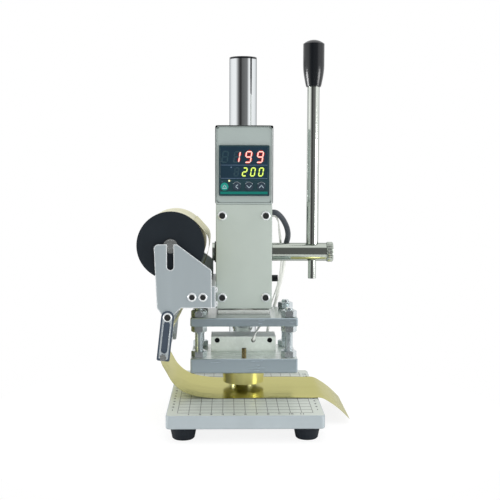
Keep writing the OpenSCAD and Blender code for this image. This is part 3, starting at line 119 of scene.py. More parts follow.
class Surface:
    """A node material with a Principled shader, grown one layer at a time."""

    def __init__(self, name):
        self.material = bpy.data.materials.new(name)
        self.material.use_nodes = True
        self.tree = self.material.node_tree
        self.shader = self.tree.nodes["Principled BSDF"]
        self.place = self.add("ShaderNodeTexCoord").outputs["Object"]

    def add(self, kind):
        return self.tree.nodes.new(kind)

    def link(self, a, b):
        self.tree.links.new(a, b)

    def set(self, **values):
        for key, value in values.items():
            self.shader.inputs[key.replace("_", " ")].default_value = value
        return self

    def stretched(self, scale):
        mapping = self.add("ShaderNodeMapping")
        mapping.inputs["Scale"].default_value = scale
        self.link(self.place, mapping.inputs["Vector"])
        return mapping.outputs["Vector"]

    def noise(self, scale, detail, stretch):
        node = self.add("ShaderNodeTexNoise")
        node.inputs["Scale"].default_value = scale
        node.inputs["Detail"].default_value = detail
        self.link(self.stretched(stretch), node.inputs["Vector"])
        return node.outputs["Fac"]

    def ramp(self, fac, stops):
        node = self.add("ShaderNodeValToRGB")
        items = node.color_ramp.elements
        items[0].position, items[0].color = stops[0]
        items[1].position, items[1].color = stops[-1]
        for position, color in stops[1:-1]:
            items.new(position).color = color
        self.link(fac, node.inputs["Fac"])
        return node.outputs["Color"]

    def span(self, fac, low, high):
        node = self.add("ShaderNodeMapRange")
        node.inputs["From Min"].default_value = NOISE_LOW
        node.inputs["From Max"].default_value = NOISE_HIGH
        node.inputs["To Min"].default_value = low
        node.inputs["To Max"].default_value = high
        self.link(fac, node.inputs["Value"])
        return node.outputs["Result"]

    def tone(self, color, scale, depth, stretch=EVEN):
        """Base colour that drifts a little darker and lighter."""
        fac = self.noise(scale, TONE_DETAIL, stretch)
        dark, pale = scaled(color, 1 - depth), scaled(color, 1 + depth)
        stops = [(NOISE_LOW, dark), (NOISE_MIDDLE, color), (NOISE_HIGH, pale)]
        self.link(self.ramp(fac, stops), self.shader.inputs["Base Color"])
        return self

    def rough(self, low, high, scale, stretch=EVEN):
        fac = self.noise(scale, ROUGH_DETAIL, stretch)
        self.link(self.span(fac, low, high), self.shader.inputs["Roughness"])
        return self

    def rounded(self, radius):
        """The normal of the surface with its edges rounded."""
        node = self.add("ShaderNodeBevel")
        node.inputs["Radius"].default_value = radius
        return node.outputs["Normal"]

    def soften(self, radius):
        """Edges that catch the light as if broken by a small round."""
        self.link(self.rounded(radius), self.shader.inputs["Normal"])
        return self

    def worn(self, radius, color):
        """A painted highlight along the edges, where the rounded normal leaves the true one."""
        agree = self.add("ShaderNodeVectorMath")
        agree.operation = "DOT_PRODUCT"
        self.link(self.rounded(radius), agree.inputs[0])
        self.link(self.add("ShaderNodeNewGeometry").outputs["True Normal"], agree.inputs[1])
        near = self.add("ShaderNodeMath")
        near.operation = "LESS_THAN"
        near.inputs[1].default_value = EDGE_HIGHLIGHT_BELOW
        self.link(agree.outputs["Value"], near.inputs[0])
        mix = self.add("ShaderNodeMix")
        mix.data_type = "RGBA"
        base = self.shader.inputs["Base Color"]
        self.link(near.outputs["Value"], mix.inputs[MIX_SHARE])
        self.link(base.links[0].from_socket, mix.inputs[MIX_FROM])
        mix.inputs[MIX_TO].default_value = color
        self.link(mix.outputs[MIX_RESULT], base)
        return self

    def bump(self, scale, strength, distance, stretch=EVEN):
        node = self.add("ShaderNodeBump")
        node.inputs["Strength"].default_value = strength
        node.inputs["Distance"].default_value = distance
        self.link(self.noise(scale, BUMP_DETAIL, stretch), node.inputs["Height"])
        previous = self.shader.inputs["Normal"].links
        if previous:
            self.link(previous[0].from_socket, node.inputs["Normal"])
        self.link(node.outputs["Normal"], self.shader.inputs["Normal"])
        return self


def metal(
    name, color, low, high, stretch=EVEN, grain=900.0, depth=0.06, scratch=0.05, metallic=1.0, edge=EDGE,
    tint=WHITE, worn=None,
):
    """A metal between two roughnesses, brushed along the axis where its grain is stretched."""
    s = Surface(name).set(Metallic=metallic, Specular_Tint=tint).soften(edge)
    s.tone(color, METAL_DRIFT, depth, stretch)
    # A painted highlight along the edges
    if worn:
        s.worn(EDGE_HIGHLIGHT_R, worn)
    s.rough(low, high, grain, stretch)
    s.bump(grain, scratch, SCRATCH_DEPTH, stretch)
    return s.material


def coated(name, color, low, high, grain=2200.0, peel=0.08, depth=0.03, edge=EDGE, gloss=0.5):
    """A surface without the shine of metal, between two roughnesses and with a fine peel."""
    s = Surface(name).soften(edge).set(Specular_IOR_Level=gloss)
    s.tone(color, COAT_DRIFT, depth)
    s.rough(low, high, COAT_CLOUDS)
    s.bump(grain, peel, PEEL_DEPTH)
    return s.material


def glowing(name, color, strength):
    """A lit bar or light of the display."""
    s = Surface(name)
    s.tone(scaled(color, GLOW_BASE), GLOW_DRIFT, GLOW_DEPTH)
    s.rough(*GLOW_ROUGH, GLOW_CLOUDS)
    s.set(Emission_Color=color, Emission_Strength=strength)
    return s.material


DARK_RIM = rgb(140, 142, 144)
BENCH = metal("bench_anodised", rgb(172, 182, 186), 0.36, 0.48, grain=3000.0, depth=0.03, metallic=0.35)
BENCH_TOP = metal("bench_top_film", rgb(206, 213, 204), 0.36, 0.48, grain=3000.0, depth=0.03, metallic=0.15)
BENCH_PRINT = coated("bench_print", rgb(98, 98, 98), 0.5, 0.6)
NUMERAL_PRINT = coated("bench_numeral_print", rgb(52, 54, 58), 0.5, 0.6)
RUBBER = coated("foot_rubber", rgb(26, 31, 37), 0.6, 0.75, grain=1500.0, peel=0.15, depth=0.12, gloss=0.25)
ZINC = metal("zinc_steel", rgb(208, 216, 219), 0.1, 0.18, grain=1600.0, metallic=0.88)
CHROME = metal(
    "hard_chrome", rgb(232, 236, 238), 0.04, 0.08, ALONG_Z, 600.0, 0.02, 0.012, tint=DARK_RIM, edge=0.0,
)
SCREW_STEEL = metal("button_screw_steel", rgb(232, 236, 238), 0.2, 0.3, grain=1600.0, metallic=0.5)
BLACK_GLOSS = coated(
    "black_gloss", rgb(22, 25, 29), 0.19, 0.2, grain=400.0, peel=0.002, depth=0.1, edge=0.0,
)
HEAD_PAINT = coated("head_powder_coat", rgb(174, 184, 177), 0.4, 0.5, edge=PAINT_EDGE)
BOX_PAINT = coated("box_powder_coat", rgb(160, 171, 168), 0.4, 0.5, edge=PAINT_EDGE)
# Painted shade in the joint and corner gaps of the control box face
SEAM_SHADE = coated("box_seam_shade", rgb(14, 15, 17), 0.5, 0.6, depth=0.1, gloss=0.2)
# Painted highlight along the rounded right rim of the control box face
RIM_HIGHLIGHT = coated("box_rim_painted_highlight", rgb(214, 220, 218), 0.3, 0.4, depth=0.04)
SEAM_PALE = coated("box_edge_shade", rgb(92, 97, 98), 0.5, 0.6, depth=0.08, gloss=0.2)
BRONZE = metal("bush_bronze", rgb(176, 140, 84), 0.3, 0.42)
CONTROLLER = coated("controller_plastic", rgb(26, 58, 66), 0.35, 0.45, grain=3000.0, peel=0.05, depth=0.08)
LENS = coated("display_lens", rgb(28, 50, 64), 0.1, 0.16, grain=300.0, peel=0.01, depth=0.1)
KEY_TEAL = coated("key_teal", rgb(18, 140, 126), 0.4, 0.5)
KEY_DARK = coated("key_dark", rgb(42, 58, 72), 0.4, 0.5)
STRIP_TEAL = coated("strip_teal", rgb(6, 112, 102), 0.5, 0.6, gloss=0.25)
NYLON = coated("gland_nylon", rgb(24, 24, 26), 0.45, 0.6)
OXIDE = metal("black_oxide", rgb(60, 62, 66), 0.3, 0.42)
# Painted shade for the hollows of screw sockets and the sensor hole
SOCKET_SHADE = coated("socket_shade", rgb(50, 52, 52), 0.5, 0.65, depth=0.2, gloss=0.2)
# Its pale edges are a painted highlight
BRACKET = metal(
    "bracket_anodised", rgb(160, 170, 174), 0.3, 0.4, ALONG_Z, 900.0, 0.05, metallic=0.2, edge=WIDE_EDGE,
    worn=rgb(244, 247, 248),
)
POLISHED = metal("arm_polished", rgb(200, 209, 214), 0.22, 0.32, ALONG_Z, 700.0, metallic=0.5)
# Painted shade for the arms' slot floors and face edges
SLOT_SHADE = coated("arm_slot_shade", rgb(66, 77, 90), 0.4, 0.5, depth=0.08, gloss=0.3)
TURNED_X = metal("turned_steel_x", rgb(194, 201, 192), 0.08, 0.14, ALONG_X, 500.0, tint=DARK_RIM)
TURNED_Y = metal("turned_steel_y", rgb(176, 179, 178), 0.16, 0.26, ALONG_Y, 500.0, metallic=0.8)
TURNED_Z = metal(
    "turned_steel_z", rgb(222, 227, 220), 0.1, 0.11, ALONG_Z, 500.0, 0.03, 0.004, tint=DARK_RIM, edge=0.0,
)
GOLD = metal(
    "gold_film", rgb(196, 192, 131), 0.16, 0.24, ALONG_X, 160.0, 0.04, 0.02, tint=rgb(228, 226, 198),
    edge=0.0,
)
GOLD_ROLL = metal(
    "gold_film_wound", rgb(212, 208, 160), 0.26, 0.36, ALONG_X, 160.0, 0.06, 0.03, metallic=0.6, edge=0.0,
)
DISC = coated(
    "disc_plastic", rgb(26, 34, 41), 0.4, 0.5, grain=1800.0, peel=0.06, depth=0.08, edge=WIDE_EDGE,
)
SLEEVE = coated("lead_sleeve", rgb(66, 71, 78), 0.4, 0.5, grain=1400.0, peel=0.3, depth=0.15)
WHITE_LEAD = coated("lead_white", rgb(238, 239, 234), 0.45, 0.55, grain=1400.0, peel=0.1)
CARD = coated("core_card", rgb(170, 140, 104), 0.7, 0.85, grain=900.0, peel=0.3, depth=0.1)
PLATE = metal("plate_machined", rgb(160, 174, 181), 0.2, 0.28, ALONG_X, 700.0, 0.04, 0.02, metallic=0.6)
# Lighter copies of the plate finish for upward faces: painted light from above, on slightly smoother
# machined tops
UPPER_TOP_LIT = metal(
    "upper_plate_top_lit", rgb(180, 191, 187), 0.16, 0.26, ALONG_X, 700.0, 0.04, 0.02, metallic=0.4,
)
HOT_TOP_LIT = metal("hot_plate_top_lit", rgb(230, 238, 232), 0.2, 0.3, ALONG_X, 700.0, 0.04, 0.02, metallic=0.3)
FLANGE = metal("flange_milled", rgb(236, 240, 236), 0.22, 0.32, ALONG_X, 700.0, 0.05, metallic=0.25)
BLOCK = coated("heater_block_milled", rgb(218, 226, 218), 0.2, 0.32, grain=900.0, peel=0.06, depth=0.05)
BLOCK_TOP = coated("heater_block_top", rgb(246, 248, 244), 0.5, 0.6, grain=900.0, peel=0.02, depth=0.03)
BRASS = metal("die_brass", rgb(228, 222, 150), 0.18, 0.26, ALONG_X, 700.0, 0.06, metallic=0.55)
BRASS_DARK = metal("screw_brass", rgb(128, 118, 84), 0.22, 0.34, grain=900.0, depth=0.12)
RED_CORE = glowing("digit_red", rgb(255, 196, 184), 1.0)
RED_RIM = glowing("digit_red_rim", rgb(206, 38, 34), 0.8)
RED_HALO = glowing("digit_red_halo", rgb(112, 8, 12), 0.8)
LIME_CORE = glowing("digit_lime", rgb(226, 246, 116), 1.0)
LIME_RIM = glowing("digit_lime_rim", rgb(104, 136, 24), 0.7)
LIME_HALO = glowing("digit_lime_halo", rgb(22, 56, 20), 0.7)
DOT_GLOW = glowing("dot_yellow", rgb(248, 246, 180), 1.0)
GHOST = coated("digit_unlit", rgb(42, 68, 78), 0.2, 0.3)
LINE_BLUE = coated("display_line", rgb(84, 106, 132), 0.4, 0.5)
SYMBOL = coated("key_symbol", rgb(172, 192, 202), 0.4, 0.5)
SYMBOL_DIM = coated("key_symbol_dim", rgb(168, 184, 194), 0.4, 0.5)

NODE_MATERIALS = {
    "bench_plate": BENCH, "rubber_feet": RUBBER, "foot_screws": ZINC, "strut": CHROME, "strut_bolt": ZINC,
    "strut_cap": BLACK_GLOSS, "head_block": HEAD_PAINT, "front_cover": HEAD_PAINT,
    "cover_screws": SCREW_STEEL, "ram_bushes": BRONZE, "shaft_bushes": BRONZE, "control_box": BOX_PAINT,
    "control_box_face": BOX_PAINT, "control_box_back": BOX_PAINT, "box_screws": ZINC,
    "controller_body": CONTROLLER, "display_window": LENS, "key_mode": KEY_TEAL, "key_shift_left": KEY_DARK,
    "key_down": KEY_DARK, "key_up": KEY_DARK, "cord_gland": NYLON, "height_lock_screw": OXIDE,
    "lock_nut": ZINC, "bracket_bar": BRACKET, "bracket_lugs": BRACKET, "bracket_plates": BRACKET,
    "bracket_screws": SCREW_STEEL, "roll_shaft": TURNED_Y, "shaft_nuts": TURNED_Y, "foil_strip": GOLD,
    "return_spring": ZINC, "lead_grommet": RUBBER, "heater_lead": SLEEVE, "sensor_lead": WHITE_LEAD,
    "foil_roll": GOLD_ROLL, "roll_core": CARD, "roll_discs": DISC, "guide_arms": POLISHED,
    "roller_pin": TURNED_Y, "guide_roller": TURNED_Y, "ram": FLANGE, "ram_bolt": ZINC, "upper_plate": PLATE,
    "balance_studs": ZINC, "stud_nuts": ZINC, "balance_nut_front_left": ZINC,
    "balance_nut_front_right": ZINC, "balance_nut_rear_left": ZINC, "balance_nut_rear_right": ZINC,
    "hot_plate": PLATE, "heater_block": BLOCK, "heaters": OXIDE, "brass_die": BRASS,
    "die_screw": BRASS_DARK, "cross_shaft": TURNED_X, "shaft_clips": OXIDE, "handle_rod": TURNED_Z,
    "handle_grip": BLACK_GLOSS, "set_knob": TURNED_X,
}
# Upward faces get a second material: the plates' tops with painted light from above, a paler, rougher top on
# the heater block, and the bench's top film
TOP_MATERIALS = {
    "bench_plate": BENCH_TOP, "upper_plate": UPPER_TOP_LIT, "hot_plate": HOT_TOP_LIT, "heater_block": BLOCK_TOP,
}
FACES_UP = 0.9
for node_name, material in NODE_MATERIALS.items():
    mesh = nodes[node_name].data
    mesh.materials.clear()
    mesh.materials.append(material)
for node_name, material in TOP_MATERIALS.items():
    mesh = nodes[node_name].data
    mesh.materials.append(material)
    for polygon in mesh.polygons:
        polygon.material_index = int(polygon.normal.z > FACES_UP)


# Shapes, given in millimetres
SIDES, FEW_SIDES = 48, 24
STROKE_REACH = 0.35
ARC_STEPS, CORNER_STEPS = 16, 6
SMOOTH_BELOW = math.radians(35)
FACE_FRONT = Matrix.Rotation(math.pi / 2, 3, "X")
FACE_BACK = Matrix.Rotation(-math.pi / 2, 3, "X")
FACE_RIGHT = Matrix.Rotation(math.pi / 2, 3, "Y")
FACE_UP = Matrix.Identity(3)


def piece(name, bm, materials, body=None):
    """An object made of a finished mesh, riding on a body when one is given."""
    bmesh.ops.recalc_face_normals(bm, faces=bm.faces)
    data = bpy.data.meshes.new(name)
    bm.to_mesh(data)
    bm.free()
    for material in materials:
        data.materials.append(material)
    for polygon in data.polygons:
        polygon.use_smooth = True
    data.set_sharp_from_angle(angle=SMOOTH_BELOW)
    obj = bpy.data.objects.new(name, data)
    scene.collection.objects.link(obj)
    if body:
        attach(obj, body)
    return obj


def low_mm(node):
    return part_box(node)[0] / MM


def high_mm(node):
    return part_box(node)[1] / MM


def middle_mm(node):
    return (low_mm(node) + high_mm(node)) / 2


def value_at(value, angle):
    return value(angle) if callable(value) else value


def hexagon(across_flats):
    """Radius of a hexagon as a function of the angle, with corners to the sides and a flat to the front."""
    return lambda a: across_flats / 2 / math.cos(a % (math.pi / 3) - math.pi / 6)


def turned(bm, rows, place, turn=FACE_UP, sides=SIDES, ring=False):
    """A closed solid about an axis. Each row's radius and height are numbers or functions of the angle."""
    loops = []
    for radius, height in rows:
        loop = []
        for k in range(sides):
            a = 2 * math.pi * k / sides
            r = value_at(radius, a)
            local = Vector((r * math.cos(a), r * math.sin(a), value_at(height, a)))
            loop.append(bm.verts.new((Vector(place) + turn @ local) * MM))
        loops.append(loop)
    pairs = list(zip(loops, loops[1:]))
    if ring:
        pairs.append((loops[-1], loops[0]))
    else:
        bm.faces.new(list(reversed(loops[0])))
        bm.faces.new(loops[-1])
    for low, high in pairs:
        for k in range(sides):
            n = (k + 1) % sides
            bm.faces.new((low[k], low[n], high[n], high[k]))


def sheet_cut(bm, outline, front, depth):
    """A flat shape of X and Z points, with its front face at a Y and its thickness behind that."""
    near = [bm.verts.new(Vector((x, front, z)) * MM) for x, z in outline]
    far = [bm.verts.new(Vector((x, front + depth, z)) * MM) for x, z in outline]
    bm.faces.new(near)
    bm.faces.new(list(reversed(far)))
    for k in range(len(outline)):
        n = (k + 1) % len(outline)
        bm.faces.new((near[k], far[k], far[n], near[n]))


def stroke(bm, points, width, front, depth):
    """A line of even width through X and Z points."""
    for (x0, z0), (x1, z1) in zip(points, points[1:]):
        along = Vector((x1 - x0, z1 - z0)).normalized()
        side = Vector((-along.y, along.x)) * width / 2
        reach = along * width * STROKE_REACH
        corners = [
            Vector((x0, z0)) - reach - side, Vector((x1, z1)) + reach - side,
            Vector((x1, z1)) + reach + side, Vector((x0, z0)) - reach + side,
        ]
        sheet_cut(bm, [tuple(c) for c in corners], front, depth)


def arc_points(x, z, radius, start, end, steps=ARC_STEPS):
    angles = [math.radians(start + (end - start) * k / steps) for k in range(steps + 1)]
    return [(x + radius * math.cos(a), z + radius * math.sin(a)) for a in angles]


def slab(bm, low, high):
    """A box between two corners."""
    made = bmesh.ops.create_cube(bm, size=1.0)
    low, high = Vector(low), Vector(high)
    for v in made["verts"]:
        share = v.co + Vector((0.5, 0.5, 0.5))
        v.co = Vector(low[i] + (high[i] - low[i]) * share[i] for i in range(3)) * MM


# Smooth lines through chosen points, the same curves as the solids follow
def course(points, i):
    if i == 0:
        return (points[1] - points[0]).normalized()
    if i == len(points) - 1:
        return (points[i] - points[i - 1]).normalized()
    before, after = points[i] - points[i - 1], points[i + 1] - points[i]
    mixed = before.normalized() * after.length + after.normalized() * before.length
    return mixed / (before.length + after.length)


def smooth_line(points, steps):
    line = []
    for i in range(len(points) - 1):
        a, b = points[i], points[i + 1]
        leave = course(points, i) * (b - a).length
        arrive = course(points, i + 1) * (b - a).length
        for k in range(steps):
            t = k / steps
            line.append(
                (2 * t**3 - 3 * t**2 + 1) * a + (t**3 - 2 * t**2 + t) * leave
                + (3 * t**2 - 2 * t**3) * b + (t**3 - t**2) * arrive
            )
    return line + [points[-1]]


def sweep(bm, line, radius, sides, aside=0.0, turns=0.0):
    """A closed tube along a line, or beside it and winding round it."""
    side = Vector((0, 1, 0))
    rings = []
    for i, p in enumerate(line):
        ahead = (line[min(i + 1, len(line) - 1)] - line[max(i - 1, 0)]).normalized()
        side = (side - ahead * side.dot(ahead)).normalized()
        up = ahead.cross(side)
        wind = 2 * math.pi * turns * i / len(line)
        centre = p + (side * math.cos(wind) + up * math.sin(wind)) * aside
        ring = []
        for k in range(sides):
            a = 2 * math.pi * k / sides
            ring.append(bm.verts.new((centre + (side * math.cos(a) + up * math.sin(a)) * radius) * MM))
        rings.append(ring)
    bm.faces.new(list(reversed(rings[0])))
    bm.faces.new(rings[-1])
    for low, high in zip(rings, rings[1:]):
        for k in range(sides):
            n = (k + 1) % sides
            bm.faces.new((low[k], low[n], high[n], high[k]))


# Leads
LEAD_STEPS = 6
LEAD_SIDES, SLEEVE_SIDES, WIRE_SIDES = 14, 20, 10
HEATER_LEAD_D = 3.2
SLEEVE_D = 5.6
SLEEVE_POINTS = 9
SENSOR_LEAD_D = 2.4
SENSOR_TURNS = 3.0
HEATER_ROUTE = [
    (23, 43.6, 195.9), (29, 43.6, 195.9), (32, 43.6, 195.9), (37, 45.2, 192.5), (41.8, 48, 186),
    (45, 51, 178.5), (46, 55, 171), (44.6, 59, 163.5), (43.4, 61.5, 154), (42.8, 63, 144),
    (41.6, 64, 134), (39.4, 65, 123), (36.6, 66, 111), (33.5, 66.5, 99), (30, 66, 88),
    (27.5, 64, 79.5), (26, 59, 72.9), (26, 52, 70.3), (26, 46.15, 70.3),
]
SENSOR_ROUTE = [
    (23, 47.2, 192.1), (29, 47.2, 192.1), (32, 47.2, 192.1), (35.2, 48, 187.5), (36.4, 50.2, 180),
    (37.8, 53, 170.5), (39, 56, 160), (39.6, 58.5, 146), (38.6, 60.5, 131), (35.4, 62.5, 116.5),
    (31, 63.6, 104.5), (27.4, 64.2, 94), (24, 60, 86.5), (21.2, 50, 83.6), (18, 36, 82.6),
    (14.8, 24, 81), (12.4, 16.5, 78), (10.6, 13.8, 73.8), (9.7, 15, 70.9), (9.7, 19, 70.3),
]


def add_lead(name, node, bm):
    obj = piece(name, bm, [WHITE_LEAD])
    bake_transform(obj)
    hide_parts(node)


def add_leads():
    heater_line = smooth_line([Vector(p) for p in HEATER_ROUTE], LEAD_STEPS)
    sleeve_line = heater_line[: (SLEEVE_POINTS - 1) * LEAD_STEPS + 1]
    bm = bmesh.new()
    sweep(bm, sleeve_line, SLEEVE_D / 2, SLEEVE_SIDES)
    sleeve = piece("heater_lead_sleeve", bm, [SLEEVE], "head")
    bm = bmesh.new()
    sweep(bm, heater_line, HEATER_LEAD_D / 2, LEAD_SIDES)
    add_lead("heater_lead_core", "heater_lead", bm)
    sensor_line = smooth_line([Vector(p) for p in SENSOR_ROUTE], LEAD_STEPS)
    bm = bmesh.new()
    for side in (-1, 1):
        sweep(bm, sensor_line, SENSOR_LEAD_D / 4, WIRE_SIDES, side * SENSOR_LEAD_D / 4, SENSOR_TURNS)
    add_lead("sensor_lead_pair", "sensor_lead", bm)


add_leads()


# Foil strip
FOIL_STEPS = 6
FOIL_ACROSS = 10
FOIL_THICK = 0.1
FOIL_LIFT = 0.7
# Where it leaves the roll, in angles, and hangs loose, in X and Z from the roll's axis
FOIL_LEAVE_R, FOIL_LOOSEN, FOIL_LEAVE_ANGLE, FOIL_LEAVE_TURNS = 31.7, 0.0025, 48, (0, 8, 16)
FOIL_LOOSE = [(34.4, 8), (34.8, -3), (31.8, -14), (24.5, -30), (9.5, -62)]
# Where it goes round the roller, in angles, and falls, in X and Z from the roller's axis
FOIL_WRAP_R, FOIL_WRAP_ANGLES = 3.65, (150, 170, 190)
FOIL_FALLING = [(-2.6, -8), (1.6, -16)]
# Where it comes down, in X from the roller and Z from the bench, and passes the bench's right edge
FOIL_LANDING = [(8.6, 14.5), (19.4, 6), (30, 2.6), (45, FOIL_LIFT)]
FOIL_OVER_EDGE = [(-8, FOIL_LIFT), (3, FOIL_LIFT - 0.3), (12, -4.5), (20, -10.5), (29.7, -20)]
# Places counted in those points: where it hangs free, meets and leaves the roller, is split, and comes down
FOIL_FREE, FOIL_ON, FOIL_OFF, FOIL_SPLIT, FOIL_DOWN = 4, 8, 10, 13, 16


def polar(centre, radius, angle):
    a = math.radians(angle)
    return Vector((centre.x + radius * math.cos(a), 0, centre.z + radius * math.sin(a)))


def offset(x, z, points):
    return [Vector((x + dx, 0, z + dz)) for dx, dz in points]


def foil_line():
    roll, roller, bench = middle_mm("roll_shaft"), middle_mm("guide_roller"), high_mm("bench_plate")
    points = [
        polar(roll, FOIL_LEAVE_R + FOIL_LOOSEN * turn**2, FOIL_LEAVE_ANGLE - turn)
        for turn in FOIL_LEAVE_TURNS
    ]
    points += offset(roll.x, roll.z, FOIL_LOOSE)
    points += [polar(roller, FOIL_WRAP_R, angle) for angle in FOIL_WRAP_ANGLES]
    points += offset(roller.x, roller.z, FOIL_FALLING)
    points += offset(roller.x, bench.z, FOIL_LANDING)
    points += [Vector((0, 0, bench.z + FOIL_LIFT))]
    points += offset(bench.x, bench.z, FOIL_OVER_EDGE)
    return smooth_line(points, FOIL_STEPS)


def strip_mesh(line, first, last):
    """The part of the foil between two points of its line, as a thin closed sheet."""
    front, back = low_mm("foil_strip").y, high_mm("foil_strip").y
    ys = [front + (back - front) * j / FOIL_ACROSS for j in range(FOIL_ACROSS + 1)]
    bm = bmesh.new()
    sides = []
    for half in (FOIL_THICK / 2, -FOIL_THICK / 2):
        rows = []
        for i in range(first, last + 1):
            ahead = (line[min(i + 1, len(line) - 1)] - line[max(i - 1, 0)]).normalized()
            out = Vector((-ahead.z, 0, ahead.x)) * half
            rows.append([bm.verts.new((line[i] + out + Vector((0, y, 0))) * MM) for y in ys])
        sides.append(rows)
    upper, lower = sides
    for rows in sides:
        for a, b in zip(rows, rows[1:]):
            for j in range(FOIL_ACROSS):
                bm.faces.new((a[j], a[j + 1], b[j + 1], b[j]))
    for i in range(last - first):
        for j in (0, FOIL_ACROSS):
            bm.faces.new((upper[i][j], upper[i + 1][j], lower[i + 1][j], lower[i][j]))
    for i in (0, last - first):
        for j in range(FOIL_ACROSS):
            bm.faces.new((upper[i][j], upper[i][j + 1], lower[i][j + 1], lower[i][j]))
    return bm


def add_foil():
    """One strip in three joined pieces, because each can bend across one joint only."""
    line = foil_line()
    end = (len(line) - 1) // FOIL_STEPS
    pieces = [
        ("upper", 0, FOIL_ON, FOIL_FREE, FOIL_ON, "head", "arm_pair", "hung", ["foil_roll", "guide_roller"]),
        ("guide", FOIL_ON, FOIL_SPLIT, FOIL_OFF, FOIL_SPLIT, "arm_pair", "head", "hung", ["guide_roller"]),
        ("lower", FOIL_SPLIT, end, FOIL_SPLIT, FOIL_DOWN, "head", "base", "laid", ["bench_plate"]),
    ]
    for name, first, last, bend_from, bend_to, body, next_body, held, rests_on in pieces:
        first, last = first * FOIL_STEPS, last * FOIL_STEPS
        obj = piece(f"foil_sheet_{name}", strip_mesh(line, first, last), [GOLD])
        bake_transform(obj)
        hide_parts("foil_strip")


add_foil()


# Grid and numerals printed on the bench
PRINT_H = 0.03
GRID_STEP = 10
GRID_LINE, CROSS_LINE = 0.45, 0.8
GRID_X, GRID_Y = 60, 80
CROSS_H = 0.9 * PRINT_H
NUMERAL_SIZE, NUMERAL_BOLD = 4.6, 0.14
NUMERAL_SIDE, NUMERAL_FRONT = 5, 4.2


def add_numeral(bm, text, x, y, z):
    curve = bpy.data.curves.new("numeral", "FONT")
    curve.body = text
    curve.size = NUMERAL_SIZE * MM
    curve.align_x = curve.align_y = "CENTER"
    curve.extrude = PRINT_H / 2 * MM
    curve.offset = NUMERAL_BOLD * MM
    holder = bpy.data.objects.new("numeral", curve)
    scene.collection.objects.link(holder)
    mesh = bpy.data.meshes.new_from_object(holder.evaluated_get(bpy.context.evaluated_depsgraph_get()))
    mesh.transform(Matrix.Translation(Vector((x, y, z + PRINT_H / 2)) * MM))
    bm.from_mesh(mesh)
    bpy.data.meshes.remove(mesh)
    bpy.data.objects.remove(holder)
    bpy.data.curves.remove(curve)


def add_bench_print():
    top = high_mm("bench_plate").z
    bm = bmesh.new()
    half, cross = GRID_LINE / 2, CROSS_LINE / 2
    for x in range(-GRID_X, GRID_X + 1, GRID_STEP):
        slab(bm, (x - half, -GRID_Y - half, top), (x + half, GRID_Y + half, top + PRINT_H))
    for y in range(-GRID_Y, GRID_Y + 1, GRID_STEP):
        slab(bm, (-GRID_X - half, y - cross, top), (GRID_X + half, y + cross, top + CROSS_H))
    piece("bench_grid", bm, [BENCH_PRINT], "base")
    bm = bmesh.new()
    for n in range(1, 2 * GRID_Y // GRID_STEP):
        for x in (-GRID_X - NUMERAL_SIDE, GRID_X + NUMERAL_SIDE):
            add_numeral(bm, str(n), x, -GRID_Y + n * GRID_STEP, top)
    for n in range(1, 2 * GRID_X // GRID_STEP):
        add_numeral(bm, str(n), -GRID_X + n * GRID_STEP, -GRID_Y - NUMERAL_FRONT, top)
    piece("bench_numerals", bm, [NUMERAL_PRINT], "base")


add_bench_print()


# Nuts, studs, sockets, knob, arms and spring
NUT_AF, NUT_FLAT, STUD_D = 13.0, 0.95, 8.0
NUT_BEVEL = math.tan(math.radians(30))
NUT_PLAY, NUT_LEAD_IN = 0.05, 0.4
THREAD_PITCH, THREAD_DEPTH = 1.25, 0.45
CREST_FROM, CREST_TO = 0.42, 0.58
STUD_CHAMFER = 0.9


def add_nut(bm, x, y, z, height):
    flat = NUT_FLAT * NUT_AF / 2
    outer = hexagon(NUT_AF)
    bore = STUD_D / 2 + NUT_PLAY
    mouth = bore + NUT_LEAD_IN

    def drop(a):
        return (outer(a) - flat) * NUT_BEVEL

    rows = [
        (mouth, 0), (flat, 0), (outer, drop), (outer, lambda a: height - drop(a)), (flat, height),
        (mouth, height), (bore, height - NUT_LEAD_IN), (bore, NUT_LEAD_IN),
    ]
    turned(bm, rows, (x, y, z), ring=True)


def add_steel(name, bm, body, node):
    """A steel nut or stud that stands for a plainer solid."""
    obj = piece(name, bm, [ZINC], body)
    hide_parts(node)


def add_balance_nuts():
    for end in ("front", "rear"):
        for side in ("left", "right"):
            node = f"balance_nut_{end}_{side}"
            low, mid = low_mm(node), middle_mm(node)
            bm = bmesh.new()
            add_nut(bm, mid.x, mid.y, low.z, high_mm(node).z - low.z)
            add_steel(f"chamfered_{node}", bm, f"nut_{end}_{side}", node)


def stud_places():
    xs = [middle_mm(f"balance_nut_front_{side}").x for side in ("left", "right")]
    ys = [middle_mm(f"balance_nut_{end}_left").y for end in ("front", "rear")]
    return [(x, y) for x in xs for y in ys]


def add_stud_nuts():
    low, high = low_mm("stud_nuts").z, high_mm("stud_nuts").z
    nut_h = high_mm("balance_nut_front_left").z - low_mm("balance_nut_front_left").z
    bm = bmesh.new()
    for x, y in stud_places():
        for z in (low, high - nut_h):
            add_nut(bm, x, y, z, nut_h)
    add_steel("chamfered_stud_nuts", bm, "ram_unit", "stud_nuts")


def add_studs():
    low, high = low_mm("balance_studs").z, high_mm("balance_studs").z
    crest, root = STUD_D / 2, STUD_D / 2 - THREAD_DEPTH
    rows = [(crest - STUD_CHAMFER, low)]
    for k in range(int((high - low - 2 * STUD_CHAMFER) / THREAD_PITCH)):
        z = low + STUD_CHAMFER + k * THREAD_PITCH
        rows += [(root, z), (crest, z + CREST_FROM * THREAD_PITCH), (crest, z + CREST_TO * THREAD_PITCH)]
    rows += [(root, high - STUD_CHAMFER), (crest - STUD_CHAMFER, high)]
    bm = bmesh.new()
    for x, y in stud_places():
        turned(bm, rows, (x, y, 0), sides=FEW_SIDES)
    add_steel("threaded_balance_studs", bm, "ram_unit", "balance_studs")


